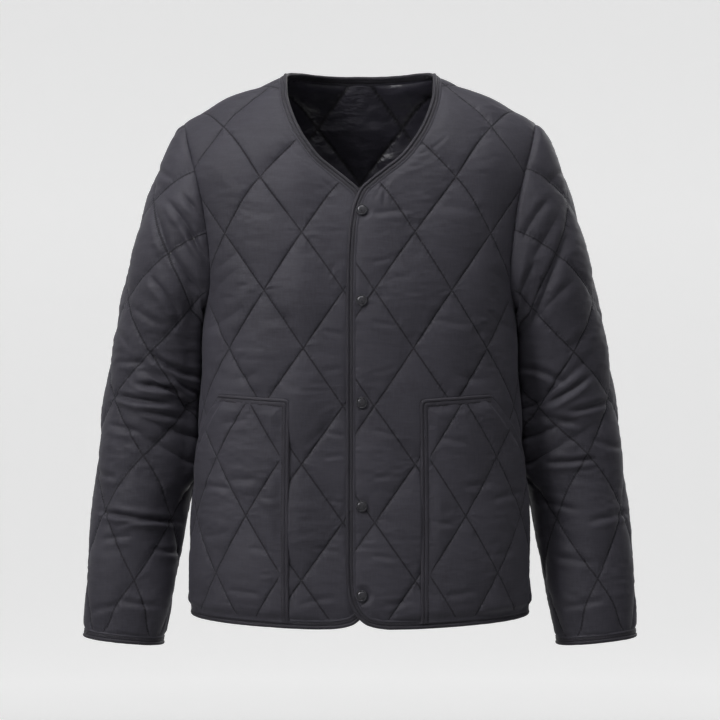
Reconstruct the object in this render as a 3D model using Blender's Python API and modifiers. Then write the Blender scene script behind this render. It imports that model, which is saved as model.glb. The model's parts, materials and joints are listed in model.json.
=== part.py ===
"""Quilted collarless jacket, worn shape with no wearer.

Frame: metres, origin midway between the two neck ends of the shoulder seams,
+X to the wearer's left, -Y to the front, +Z up. The garment hangs from its shoulders.

Every panel is worked out in a flat cutting plane (a, q): a is the distance round the
body from the centre line, q the height measured along the cloth. body_point() lays that
plane on the body form, which is a stack of rounded sections closed over the shoulders.
"""

import math

import bmesh
import bpy
import numpy as np
from mathutils import Matrix, Vector

NAME = "quilted_jacket"
MM = 0.001

# ------------------------------------------------------------------ driving sizes
HALF_WALL = 2.0 * MM  # quilted cloth, half its mean thickness
HALF_SEAM = 1.3 * MM  # half thickness where two pieces are sewn together
HALF_TONGUE = 0.55 * MM  # pressed edge held inside a binding
SEAM_GAP = 0.36 * MM
BIND_W = 8.5 * MM  # width of the bound edge
BIND_HALF = 2.5 * MM  # half thickness of the binding
SLOT_DEPTH = 5.3 * MM
TONGUE = 4.8 * MM
SLOT_HALF = 1.0 * MM
LAP = 3.3 * MM  # each front stands this far from the form where they overlap
HALF_LAP = 1.5 * MM  # half thickness of the fronts where they overlap
LAP_FULL, LAP_NONE = 0.026, 0.078  # the lap fades out between these x
SNAP_X = 1.9 * MM
PRESS_Z = (-0.1739, -0.6264)  # the top and bottom snaps lie on the bindings
PRESS = 0.7 * MM  # and press them this much thinner
SNAP_Z = (-0.1739, -0.2803, -0.3998, -0.5214, -0.6264)
POCKET_HALF = 1.2 * MM
POCKET_LIFT = 4.5 * MM  # middle of the pocket's cloth above the middle of the front
BAND_W = 9.6 * MM
BAND_HALF = 1.5 * MM
SHOULDER_X = 0.2145
ARMPIT_Z = -0.2920
ROUND = 2.35  # exponent of the rounded sections
TOP_H, TOP_B = 0.100, 0.085  # rounding over the shoulders: height and depth

# height, half width, depth in front, depth behind, y of the side line
BODY = (
    (0.060, 0.2340, 0.045, 0.070, 0.000),
    (0.000, 0.2335, 0.056, 0.080, 0.000),
    (-0.060, 0.2310, 0.076, 0.098, 0.000),
    (-0.110, 0.2255, 0.094, 0.112, 0.000),
    (-0.162, 0.2130, 0.107, 0.120, 0.000),
    (-0.222, 0.2005, 0.114, 0.124, -0.002),
    (-0.265, 0.1930, 0.115, 0.125, -0.005),
    (-0.300, 0.1895, 0.114, 0.126, -0.008),
    (-0.345, 0.1895, 0.111, 0.124, -0.011),
    (-0.435, 0.1945, 0.108, 0.119, -0.012),
    (-0.512, 0.2005, 0.108, 0.119, -0.012),
    (-0.594, 0.2045, 0.110, 0.121, -0.012),
    (-0.665, 0.2052, 0.112, 0.123, -0.012),
    (-0.700, 0.2052, 0.112, 0.123, -0.012),
)
# x, height of the shoulder line
RIDGE = (
    (0.0000, 0.0686),
    (0.0200, 0.0620),
    (0.0400, 0.0475),
    (0.0600, 0.0290),
    (0.0740, 0.0125),
    (0.0830, 0.0030),
    (0.0885, -0.0015),
    (0.1098, -0.0140),
    (0.1342, -0.0245),
    (0.1586, -0.0343),
    (0.1830, -0.0458),
    (0.2000, -0.0545),
    (0.2145, -0.0635),
    (0.2350, -0.0780),
)
# outer edge of a front: x, height, from the hem up to the neck end of the shoulder seam
FRONT_EDGE = (
    (-0.0165, -0.5700),
    (-0.0165, -0.4500),
    (-0.0165, -0.3500),
    (-0.0163, -0.2675),
    (-0.0146, -0.2086),
    (-0.0120, -0.1839),
    (-0.0094, -0.1702),
    (-0.0056, -0.1595),
    (0.0000, -0.1480),
    (0.0136, -0.1352),
    (0.0298, -0.1222),
    (0.0475, -0.1073),
    (0.0628, -0.0878),
    (0.0755, -0.0650),
    (0.0848, -0.0400),
    (0.0882, -0.0150),
)
CORNER = (  # rounded lower corner, from the hem round to the front edge
    (0.0470, -0.6665),
    (0.0278, -0.6658),
    (0.0158, -0.6638),
    (0.0067, -0.6606),
    (0.0007, -0.6560),
    (-0.0048, -0.6495),
    (-0.0098, -0.6405),
    (-0.0135, -0.6300),
    (-0.0156, -0.6170),
    (-0.0164, -0.5960),
)
# share of the way round to the side line, height of the hem
HEM = (
    (0.00, -0.6668),
    (0.20, -0.6665),
    (0.50, -0.6635),
    (0.75, -0.6600),
    (1.00, -0.6565),
)
NECK_X = 0.0885  # neck end of the shoulder seam
BACK_NECK = (  # x, y of the back neck edge from above
    (0.0885, 0.0000),
    (0.0872, 0.0065),
    (0.0830, 0.0150),
    (0.0740, 0.0330),
    (0.0600, 0.0524),
    (0.0400, 0.0660),
    (0.0200, 0.0728),
    (0.0000, 0.0750),
)
# turn round the armhole from its top, x as a share of the half width: front, back
ARMHOLE = (
    (0.0, 0.9257, 0.9257),
    (30.0, 0.914, 0.926),
    (60.0, 0.890, 0.916),
    (90.0, 0.889, 0.911),
    (120.0, 0.907, 0.922),
    (150.0, 0.955, 0.958),
    (165.0, 0.987, 0.987),
    (180.0, 1.0, 1.0),
)
# share of the sleeve, outer line x and z, inner line x and z, y of its middle, half depth
SLEEVE = (
    (0.00, 0.2145, -0.0635, 0.1895, -0.2920, 0.000, 0.0620),
    (0.05, 0.2280, -0.0870, 0.1925, -0.2945, 0.001, 0.0650),
    (0.11, 0.2425, -0.1210, 0.1955, -0.3000, 0.004, 0.0680),
    (0.18, 0.2565, -0.1600, 0.1960, -0.3150, 0.008, 0.0690),
    (0.27, 0.2729, -0.2210, 0.1940, -0.3400, 0.015, 0.0685),
    (0.38, 0.2885, -0.2900, 0.1920, -0.3850, 0.024, 0.0655),
    (0.50, 0.3030, -0.3670, 0.1930, -0.4400, 0.031, 0.0620),
    (0.62, 0.3130, -0.4420, 0.2020, -0.4950, 0.033, 0.0590),
    (0.74, 0.3210, -0.5200, 0.2165, -0.5510, 0.029, 0.0540),
    (0.87, 0.3290, -0.6050, 0.2285, -0.6200, 0.020, 0.0470),
    (1.00, 0.3335, -0.6880, 0.2420, -0.6976, 0.012, 0.0400),
)
# creases pressed into each sleeve: share of the sleeve, turn, length, width, depth, slant
SLEEVE_FOLDS = (
    (0.455, 140.0, 70.0, 0.012, 4.0 * MM, 0.010),
    (0.520, 165.0, 80.0, 0.012, 5.0 * MM, -0.012),
    (0.585, 130.0, 60.0, 0.011, 3.0 * MM, 0.010),
)
SLEEVE_CLEAR = 10.0 * MM  # middle of the sleeve's cloth to the middle of the body's

# stations: how many cells each stretch is cut into
N_CORNER, N_EDGE, N_VEE, N_NECK = 4, 5, 4, 7
N_SIDE, N_ARM = 8, 12
N_HEM, N_SHOULDER = 8, 8
N_BACK_NECK, N_BACK_SHOULDER = 8, 4
SLEEVE_ROWS = (0.0, 0.05, 0.11, 0.18, 0.27, 0.37, 0.43, 0.475, 0.52, 0.565, 0.63, 0.74, 0.87)

CHARCOAL = (0.043, 0.042, 0.050)
TAPE = (0.036, 0.035, 0.042)
CAP = (0.050, 0.050, 0.054)


# ------------------------------------------------------------------ form
def hermite(rows, key):
    """Smooth curve through a table whose first column is the key."""
    rows = np.asarray(rows, float)
    k, v = rows[:, 0], rows[:, 1:]
    if k[0] > k[-1]:
        k, v = k[::-1], v[::-1]
    step = np.diff(k)[:, None]
    slope = np.diff(v, axis=0) / step
    m = np.empty_like(v)
    m[0], m[-1] = slope[0], slope[-1]
    m[1:-1] = (slope[:-1] * step[1:] + slope[1:] * step[:-1]) / (step[1:] + step[:-1])
    key = np.clip(np.asarray(key, float), k[0], k[-1])
    i = np.clip(np.searchsorted(k, key, side="right") - 1, 0, len(k) - 2)
    h = (k[i + 1] - k[i])[..., None]
    u = (key - k[i])[..., None] / h
    out = (
        (2 * u**3 - 3 * u**2 + 1) * v[i]
        + (u**3 - 2 * u**2 + u) * h * m[i]
        + (-2 * u**3 + 3 * u**2) * v[i + 1]
        + (u**3 - u**2) * h * m[i + 1]
    )
    return np.moveaxis(out, -1, 0)


def through(points, count=400):
    """Dense smooth line through the points, by chord length."""
    points = np.asarray(points, float)
    run = np.concatenate([[0], np.cumsum(np.linalg.norm(np.diff(points, axis=0), axis=1))])
    rows = np.column_stack([run, points])
    return hermite(rows, np.linspace(0, run[-1], count)).T


def spaced(line, count):
    """count + 1 points at equal distances along a dense line."""
    run = np.concatenate([[0], np.cumsum(np.linalg.norm(np.diff(line, axis=0), axis=1))])
    at = np.linspace(0, run[-1], count + 1)
    return np.column_stack([np.interp(at, run, line[:, i]) for i in range(line.shape[1])])


def smooth(x):
    x = np.clip(x, 0, 1)
    return x * x * (3 - 2 * x)


def quarter_table():
    turn = np.linspace(0, math.pi / 2, 1441)
    x, y = np.sin(turn) ** (2 / ROUND), np.cos(turn) ** (2 / ROUND)
    run = np.concatenate([[0], np.cumsum(np.hypot(np.diff(x), 0.58 * np.diff(y)))])
    return run / run[-1], x, y


ARC_S, ARC_X, ARC_Y = quarter_table()
RATIOS = np.linspace(0.15, 0.75, 13)
TURNS = np.linspace(0, math.pi / 2, 721)
QUARTERS = np.array(
    [
        np.hypot(np.diff(np.sin(TURNS) ** (2 / ROUND)), r * np.diff(np.cos(TURNS) ** (2 / ROUND))).sum()
        for r in RATIOS
    ]
)
TOP_V = math.pi / 2 * math.sqrt((TOP_H**2 + TOP_B**2) / 2)
TOP_Q = TOP_V - TOP_H


def ridge(x):
    return hermite(RIDGE, np.abs(x))[0]


def girth(z):
    """Distance from the centre line to the side line, mean of front and back."""
    half, front, back, _ = hermite(BODY, z)
    return half * np.interp((front + back) / 2 / half, RATIOS, QUARTERS)


def body_point(a, q, behind):
    """The form's point at (a, q). behind is False in front and True at the back."""
    a, q = np.broadcast_arrays(np.asarray(a, float), np.asarray(q, float))
    z = q.copy()
    for _ in range(14):
        half, front, back, seam_y = hermite(BODY, z)
        s = np.clip(np.abs(a) / girth(z), 0, 1)
        x = half * np.interp(s, ARC_S, ARC_X)
        top = ridge(x)
        v = top + TOP_Q - q
        turn = np.clip(v / TOP_V, 0, 1) * math.pi / 2
        drop = np.where(v < TOP_V, TOP_H * (1 - np.cos(turn)), TOP_H + v - TOP_V)
        z = top - drop
    depth = np.interp(s, ARC_S, ARC_Y) * np.sin(turn)
    y = seam_y * np.sin(turn) + np.where(behind, back, -front) * depth
    return np.stack([np.sign(a) * x, y, z], axis=-1)


def flat(x, z):
    """(a, q) of the form's point at x and z."""
    x, z = np.asarray(x, float), np.asarray(z, float)
    half = hermite(BODY, z)[0]
    s = np.interp(np.clip(np.abs(x) / half, 0, 1), ARC_X, ARC_S)
    drop = np.clip(ridge(x) - z, 0, None)
    turn = np.arccos(np.clip(1 - drop / TOP_H, 0, 1))
    v = np.where(drop < TOP_H, TOP_V * turn / (math.pi / 2), TOP_V + drop - TOP_H)
    return np.stack([np.sign(x) * s * girth(z), ridge(x) + TOP_Q - v], axis=-1)


def body_normal(a, q, behind):
    """Outward normal, by small steps kept just below the shoulder line."""
    e = 0.0006
    a, q = np.broadcast_arrays(np.asarray(a, float), np.asarray(q, float))
    q = np.minimum(q, ridge(body_point(a, q, behind)[..., 0]) + TOP_Q - 3 * e)
    pa = body_point(a + e, q, behind) - body_point(a - e, q, behind)
    pq = body_point(a, q + e, behind) - body_point(a, q - e, behind)
    n = np.cross(pq, pa) if behind else np.cross(pa, pq)
    n[..., 1] += np.where(np.asarray(behind), 1e-12, -1e-12)
    return n / np.linalg.norm(n, axis=-1, keepdims=True)


def lap(x, on_top):
    """How far a front stands off the form near the centre; the under one goes inward."""
    reach = smooth((LAP_NONE - x) / (LAP_NONE - LAP_FULL))
    return LAP * reach * (1 if on_top else -1)


# ------------------------------------------------------------------ cutting plane
def hem_q(a):
    s = np.abs(a) / girth(-0.66)
    return hermite(HEM, s)[0]


def front_outline():
    """The front's outer edge in the cutting plane, hem side seam to shoulder seam."""
    corner = np.array(CORNER)
    corner_flat = flat(corner[:, 0], corner[:, 1])
    side_a = float(girth(-0.6565))
    along = np.linspace(side_a, corner_flat[0, 0] + 0.012, 8)
    hem = np.column_stack([along, hem_q(along)])
    edge = np.array(FRONT_EDGE)
    edge_flat = flat(edge[:, 0], edge[:, 1])
    end = flat(np.array([NECK_X]), ridge(np.array([NECK_X])))
    return through(np.vstack([hem, corner_flat, edge_flat, end]), 1600)


def back_neck_outline():
    x, y = np.array(BACK_NECK).T
    half, _, behind, _ = hermite(BODY, np.zeros(len(x)))
    share = np.interp(x / half, ARC_X, ARC_S)
    turn = np.arcsin(y / (behind * np.interp(share, ARC_S, ARC_Y)))
    z = ridge(x) - TOP_H * (1 - np.cos(turn))
    q = ridge(x) + TOP_Q - TOP_V * turn / (math.pi / 2)
    right = np.column_stack([share * girth(z), q])
    left = right[::-1][1:] * np.array([-1, 1])
    return through(np.vstack([right, left]), 800)


def spread(points, behind):
    """How far a step along a and a step along q go on the form: the metric at each point."""
    e = 0.0015
    a, q = points.T
    inner = np.where(a >= 0, -e, e)
    here = body_point(a, q, behind)
    pa = (here - body_point(a + inner, q, behind)) / -inner[:, None]
    pq = (here - body_point(a, q - e, behind)) / e
    return (pa * pa).sum(1), (pa * pq).sum(1), (pq * pq).sum(1)


def inward(line, sign, behind):
    """Steps of unit length on the form, square to a flat line, turned to its sign side."""
    t = np.gradient(line, axis=0)
    u, w = sign * -t[:, 1], sign * t[:, 0]
    g, f, h = spread(line, behind)
    n = np.column_stack([h * u - f * w, g * w - f * u])
    size = np.sqrt(g * n[:, 0] ** 2 + 2 * f * n[:, 0] * n[:, 1] + h * n[:, 1] ** 2)
    return n / size[:, None]


def seam_cut(line, normals, end_dir, reach, behind):
    """Turns the steps near the last station to lie along the seam that ends the line."""
    run = np.concatenate([[0], np.cumsum(np.linalg.norm(np.diff(line, axis=0), axis=1))])
    w = smooth(1 - (run[-1] - run) / reach)[:, None]
    n = normals * (1 - w) + end_dir * w
    g, f, h = spread(line, behind)
    size = np.sqrt(g * n[:, 0] ** 2 + 2 * f * n[:, 0] * n[:, 1] + h * n[:, 1] ** 2)
    return n / size[:, None]


def shoulder_dir():
    """A step of unit length on the form, along the shoulder seam from its neck end."""
    x = np.array([NECK_X, 0.1050])
    p = flat(x, ridge(x))
    return (p[1] - p[0]) / np.hypot(x[1] - x[0], ridge(x[1]) - ridge(x[0]))


def armhole_flat(count, behind):
    """The armhole from the armpit up to the shoulder point, in the cutting plane."""
    turn = np.linspace(180, 0, count + 1)
    return armhole_at(turn, behind)


def armhole_at(turn, behind):
    top = float(ridge(SHOULDER_X))
    z = (top + ARMPIT_Z) / 2 + (top - ARMPIT_Z) / 2 * np.cos(np.radians(turn))
    share = hermite(ARMHOLE, turn)[1 if behind else 0]
    half = hermite(BODY, z)[0]
    pts = flat(half * share, z)
    if np.ndim(turn):
        pts[np.asarray(turn) == 0] = flat(SHOULDER_X, ridge(SHOULDER_X))
    return pts


def coons(bottom, top, left, right):
    """Grid between four lines of stations: rows run from bottom to top."""
    nu, nv = len(bottom), len(left)
    u = np.linspace(0, 1, nu)[None, :, None]
    v = np.linspace(0, 1, nv)[:, None, None]
    ruled = (1 - v) * bottom[None] + v * top[None] + (1 - u) * left[:, None] + u * right[:, None]
    corners = (
        (1 - u) * (1 - v) * bottom[0]
        + u * (1 - v) * bottom[-1]
        + (1 - u) * v * top[0]
        + u * v * top[-1]
    )
    return ruled - corners


# ------------------------------------------------------------------ solids
def material(name, colour, roughness, metallic=0.0):
    mat = bpy.data.materials.new(name)
    mat.use_nodes = True
    shader = mat.node_tree.nodes["Principled BSDF"]
    shader.inputs["Base Color"].default_value = (*colour, 1.0)
    shader.inputs["Roughness"].default_value = roughness
    shader.inputs["Metallic"].default_value = metallic
    mat.diffuse_color = (*colour, 1.0)
    return mat


def add_object(name, mesh, mat, collection, root, smooth_angle=50):
    mesh.materials.append(mat)
    mesh.shade_smooth()
    mesh.set_sharp_from_angle(angle=math.radians(smooth_angle))
    obj = bpy.data.objects.new(name, mesh)
    collection.objects.link(obj)
    obj.parent = root
    return obj


def wall(name, mid, offset, faces):
    """Closed wall: the sheet's points moved out and in by offset, with its rims closed."""
    n = len(mid)
    bm = bmesh.new()
    verts = [bm.verts.new(p) for p in np.vstack([mid + offset, mid - offset])]
    edges = {}
    for face in faces:
        bm.faces.new([verts[i] for i in face])
        bm.faces.new([verts[i + n] for i in reversed(face)])
        for i, j in zip(face, face[1:] + face[:1]):
            edges[i, j] = edges.get((i, j), 0) + 1
    for i, j in edges:
        if (j, i) not in edges:
            bm.faces.new([verts[j], verts[i], verts[i + n], verts[j + n]])
    bmesh.ops.triangulate(bm, faces=bm.faces[:])
    bmesh.ops.recalc_face_normals(bm, faces=bm.faces[:])
    mesh = bpy.data.meshes.new(name)
    bm.to_mesh(mesh)
    bm.free()
    return mesh


def grid_faces(rows, cols, start=0, closed=False):
    faces = []
    for r in range(rows - 1):
        for c in range(cols if closed else cols - 1):
            d = (c + 1) % cols
            i = start + r * cols
            faces.append([i + c, i + d, i + cols + d, i + cols + c])
    return faces


def sweep(name, sections, closed):
    """Skins a list of like sections, given as arrays of points, and caps an open one."""
    bm = bmesh.new()
    rings = [[bm.verts.new(p) for p in section] for section in sections]
    count = len(rings[0])
    pairs = list(zip(rings, rings[1:])) + ([(rings[-1], rings[0])] if closed else [])
    for a, b in pairs:
        for i in range(count):
            j = (i + 1) % count
            bm.faces.new([a[i], a[j], b[j], b[i]])
    if not closed:
        bm.faces.new(list(reversed(rings[0])))
        bm.faces.new(rings[-1])
    bmesh.ops.triangulate(bm, faces=bm.faces[:], ngon_method="EAR_CLIP")
    bmesh.ops.recalc_face_normals(bm, faces=bm.faces[:])
    mesh = bpy.data.meshes.new(name)
    bm.to_mesh(mesh)
    bm.free()
    return mesh


# folded tape round an edge: distance out from its inner rim, distance off the cloth
TAPE_SECTION = np.array(
    (
        (0.0, BIND_HALF * 0.88),
        (BIND_W - 2.6 * MM, BIND_HALF),
        (BIND_W - 0.3 * MM, BIND_HALF * 0.5),
        (BIND_W - 0.3 * MM, -BIND_HALF * 0.5),
        (BIND_W - 2.6 * MM, -BIND_HALF),
        (0.0, -BIND_HALF * 0.88),
        (0.0, -SLOT_HALF),
        (SLOT_DEPTH, -SLOT_HALF),
        (SLOT_DEPTH, SLOT_HALF),
        (0.0, SLOT_HALF),
    )
)


def tape_sections(frames):
    """Sections of the folded tape at each station, thinner where the top snap presses it."""
    found = []
    for p, e, n, k in zip(frames.inner, frames.out, frames.normal, frames.stretch):
        far = min(abs(p[2] - z) for z in PRESS_Z)
        press = PRESS * smooth(2.4 - far / 0.010) * smooth((0.03 - abs(p[0])) / 0.01)
        off = TAPE_SECTION[:, 1:].copy()
        thick = np.abs(off) > SLOT_HALF + 0.5 * MM
        off[thick] -= np.sign(off[thick]) * press
        found.append(p + TAPE_SECTION[:, :1] * k * e + off * n)
    return found


class Frames:
    """Stations along a bound edge: inner rim, unit direction out to the edge, normal, stretch."""

    def __init__(self, edge, normals, behind, lift=None):
        rim = edge + normals * BIND_W
        outer, inner = body_point(*edge.T, behind), body_point(*rim.T, behind)
        n = body_normal(*(edge + normals * BIND_W / 2).T, behind)
        if lift is not None:
            shift = lift(inner[:, 0])[:, None] * n
            outer, inner = outer + shift, inner + shift
        out = outer - inner
        size = np.linalg.norm(out, axis=1)
        self.inner, self.out, self.stretch = inner, out / size[:, None], size / BIND_W
        n = n - (n * self.out).sum(axis=1, keepdims=True) * self.out
        self.normal = n / np.linalg.norm(n, axis=1, keepdims=True)

    def at(self, distance):
        return self.inner + self.out * (distance * self.stretch)[:, None]


IN_SEAM = np.array([1, 0, 1])  # side and shoulder seams lie in this plane, so their normals do


def level(vectors):
    flat_ones = vectors * IN_SEAM
    return flat_ones / np.linalg.norm(flat_ones, axis=-1, keepdims=True)


def trim_end(frames, index, way):
    """Moves one station back from a seam, for the gap between the pieces: way is the sign of y."""
    frames.out[index], frames.normal[index] = level(frames.out[index]), level(frames.normal[index])
    frames.inner[index][1] += way * SEAM_GAP / 2


# ------------------------------------------------------------------ sleeves
def armhole_point(turn):
    """Armhole ring: 0 is the shoulder point, 90 the front, 180 the armpit, 270 the back."""
    turn = np.asarray(turn, float)
    front = turn <= 180
    fold = np.where(front, turn, 360 - turn)
    pts = np.where(front[:, None], armhole_at(fold, False), armhole_at(fold, True))
    return np.where(front[:, None], body_point(*pts.T, False), body_point(*pts.T, True))


def sleeve_plain(t, turn):
    """The sleeve's point at share t and turn, before it is pushed off the body."""
    ox, oz, ix, iz, y, depth = hermite(SLEEVE, t)
    c, s = np.cos(np.radians(turn)), np.sin(np.radians(turn))
    power = 2 / 2.15
    c, s = np.sign(c) * np.abs(c) ** power, np.sign(s) * np.abs(s) ** power
    x = (ox + ix) / 2 + (ox - ix) / 2 * c
    z = (oz + iz) / 2 + (oz - iz) / 2 * c
    return np.stack([x, y - depth * s, z], axis=-1)


def body_side(y, z):
    """Half width of the body form at y and z."""
    half, front, back, seam_y = hermite(BODY, z)
    depth = np.where(y < seam_y, front, back)
    share = np.clip(np.abs(y - seam_y) / depth, 0, 1)
    return half * (1 - share**ROUND) ** (1 / ROUND)


RING = np.arange(0, 360, 5.0)
RING_POINTS = None


def sleeve_point(t, turn):
    t, turn = np.broadcast_arrays(np.asarray(t, float), np.asarray(turn, float))
    shape = t.shape
    t, turn = t.ravel(), np.mod(turn.ravel(), 360)
    p = sleeve_plain(t, turn)
    rest = armhole_point(turn) - sleeve_plain(np.zeros_like(t), turn)
    p = p + (1 - smooth(t / 0.34))[:, None] * rest
    for at, around, length, width, depth, slant in SLEEVE_FOLDS:
        away = (turn - around + 180) % 360 - 180
        near = np.exp(-((t - at - slant * away / 60) / width) ** 2)
        p[:, 0] -= depth * near * np.exp(-((away / length) ** 2)) * np.cos(np.radians(turn))
        p[:, 1] += depth * near * np.exp(-((away / length) ** 2)) * np.sin(np.radians(turn))
    ring = armhole_point(RING)
    far = np.min(np.linalg.norm(p[:, None] - ring[None], axis=2), axis=1)
    clear = SLEEVE_CLEAR * smooth(far / 0.022)
    least = body_side(p[:, 1], p[:, 2]) + clear
    soft = 0.004 * smooth(far / 0.03) + 1e-5
    over = least - p[:, 0]
    below = smooth((-0.235 - p[:, 2]) / 0.05)
    p[:, 0] += below * soft * np.logaddexp(0, over / soft)
    return p.reshape(*shape, 3)


def sleeve_normal(t, turn):
    e = 0.004
    low, high = np.clip(t - e, 0, 1), np.clip(t + e, 0, 1)
    along = sleeve_point(high, turn) - sleeve_point(low, turn)
    around = sleeve_point(t, turn + 2.0) - sleeve_point(t, turn - 2.0)
    n = np.cross(around, along)
    return n / np.linalg.norm(n, axis=-1, keepdims=True)


# ------------------------------------------------------------------ pieces
def mirror(points, side):
    return points * np.array([side, 1, 1])


def mitre(n1, n2):
    m = n1 + n2
    m /= np.linalg.norm(m, axis=-1, keepdims=True)
    return m / np.clip((m * n1).sum(axis=-1, keepdims=True), 0.75, 1)


def armhole_frame(turn):
    """Armhole stations with the mitre shared by body and sleeve."""
    ring = armhole_point(turn)
    front = turn <= 180
    fold = np.where(front, turn, 360 - turn)
    pts = np.where(front[:, None], armhole_at(fold, False), armhole_at(fold, True))
    n_body = np.where(
        front[:, None], body_normal(*pts.T, False), body_normal(*pts.T, True)
    )
    n_sleeve = sleeve_normal(np.full(len(turn), 0.012), turn)
    return ring, mitre(n_body, n_sleeve)


def build_front(side, on_top, collection, root, mats):
    label = "left" if side > 0 else "right"
    outline = front_outline()
    run = np.concatenate([[0], np.cumsum(np.linalg.norm(np.diff(outline, axis=0), axis=1))])
    normals = inward(outline, -1.0, False)
    normals = seam_cut(outline, normals, shoulder_dir(), 0.030, False)
    up = np.array([0.0, 1.0])
    normals = seam_cut(outline[::-1], normals[::-1], up, 0.030, False)[::-1]
    # landmarks along the outline
    corner = run[np.argmin(np.hypot(outline[:, 0] - 0.0007, outline[:, 1] + 0.656))]
    corner_top = run[np.argmin(np.abs(outline[:, 1] + 0.600) + (outline[:, 0] > 0.0) * 9)]
    vee_low = run[np.argmin(np.abs(outline[:, 1] + 0.212) + (outline[:, 0] > 0.0) * 9)]
    vee_top = run[np.argmin(np.abs(outline[:, 0] - 0.018) + (outline[:, 1] < -0.3) * 9)]
    stops = (
        np.linspace(0, corner, N_HEM + 1),
        np.linspace(corner, corner_top, N_CORNER + 1)[1:],
        np.linspace(corner_top, vee_low, N_EDGE + 1)[1:],
        np.linspace(vee_low, vee_top, N_VEE + 1)[1:],
        vee_top + (run[-1] - vee_top) * np.sin(np.linspace(0, 1.25, N_NECK + 1))[1:] / math.sin(1.25),
    )
    at = np.concatenate(stops)
    edge = np.column_stack([np.interp(at, run, outline[:, i]) for i in (0, 1)])
    turn_in = np.column_stack([np.interp(at, run, normals[:, i]) for i in (0, 1)])
    frames = Frames(edge, turn_in, False, lambda x: lap(x, on_top))
    for end in (0, -1):
        trim_end(frames, end, -1)

    # quilted panel: a grid between the bound edge, the side and armhole, and the shoulder
    rim = edge + turn_in * (BIND_W + 0.6 * MM)
    split = N_HEM
    left, bottom = rim[split:], rim[: split + 1][::-1]
    side_top = flat(float(hermite(BODY, ARMPIT_Z)[0]), ARMPIT_Z)
    seam = np.linspace(bottom[-1], side_top, N_SIDE + 1)
    seam[:, 0] = girth(seam[:, 1])
    right = np.vstack([seam[:-1], armhole_flat(N_ARM, False)])
    top_line = through(
        np.vstack([left[-1:], *[flat(x, ridge(x))[None] for x in np.linspace(0.112, SHOULDER_X, 6)]]), 200
    )
    top = spaced(top_line, N_SHOULDER)
    grid = coons(bottom, top, left, right)
    rows, cols = grid.shape[:2]
    a, q = grid[..., 0].ravel(), grid[..., 1].ravel()
    mid = body_point(a, q, False)
    normal = body_normal(a, q, False)
    mid = mid + lap(mid[:, 0], on_top)[:, None] * normal
    half = HALF_WALL + (HALF_LAP - HALF_WALL) * np.abs(lap(mid[:, 0], True)) / LAP
    index = np.arange(rows * cols).reshape(rows, cols)
    half[index[:, -1]] = HALF_SEAM
    half[index[-1, :]] = HALF_SEAM
    # pressed edge where the binding takes hold
    bound = np.concatenate([index[0, ::-1], index[1:, 0]])
    seams = np.concatenate([index[1:N_SIDE, -1], index[-1, 1:-1]])
    normal[seams] = level(normal[seams])
    mid[seams] += [0, -SEAM_GAP / 2, 0]
    mid[bound] = frames.at(-0.6 * MM)
    normal[bound] = frames.normal
    half[bound] = HALF_TONGUE
    offset = normal * half[:, None]
    # armhole rim shares its mitre with the sleeve
    turn = np.linspace(180, 0, N_ARM + 1)
    ring, shared = armhole_frame(turn)
    arm = index[N_SIDE:, -1]
    inner_col = mid[index[N_SIDE:, -2]]
    d = inner_col - ring
    d /= np.linalg.norm(d, axis=1, keepdims=True)
    mid[arm] = ring + d * SEAM_GAP / 2
    mid[arm[[0, -1]], 1] = ring[[0, -1], 1] - SEAM_GAP / 2
    offset[arm] = shared * HALF_SEAM
    # strip inside the binding
    tongue = frames.at(TONGUE)
    n = len(mid)
    mid = np.vstack([mid, tongue])
    offset = np.vstack([offset, frames.normal * HALF_TONGUE])
    faces = grid_faces(rows, cols)
    for k in range(len(bound) - 1):
        faces.append([bound[k], bound[k + 1], n + k + 1, n + k])
    faces = [[int(i) for i in f] for f in faces]
    if side < 0:
        faces = [f[::-1] for f in faces]
    mesh = wall(f"front_{label}", mirror(mid, side), mirror(offset, side), faces)
    add_object(f"front_{label}", mesh, mats["cloth"], collection, root)

    tape = [mirror(s, side) for s in tape_sections(frames)]
    mesh = sweep(f"binding_front_{label}", tape, False)
    add_object(f"binding_front_{label}", mesh, mats["tape"], collection, root, 70)


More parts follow.
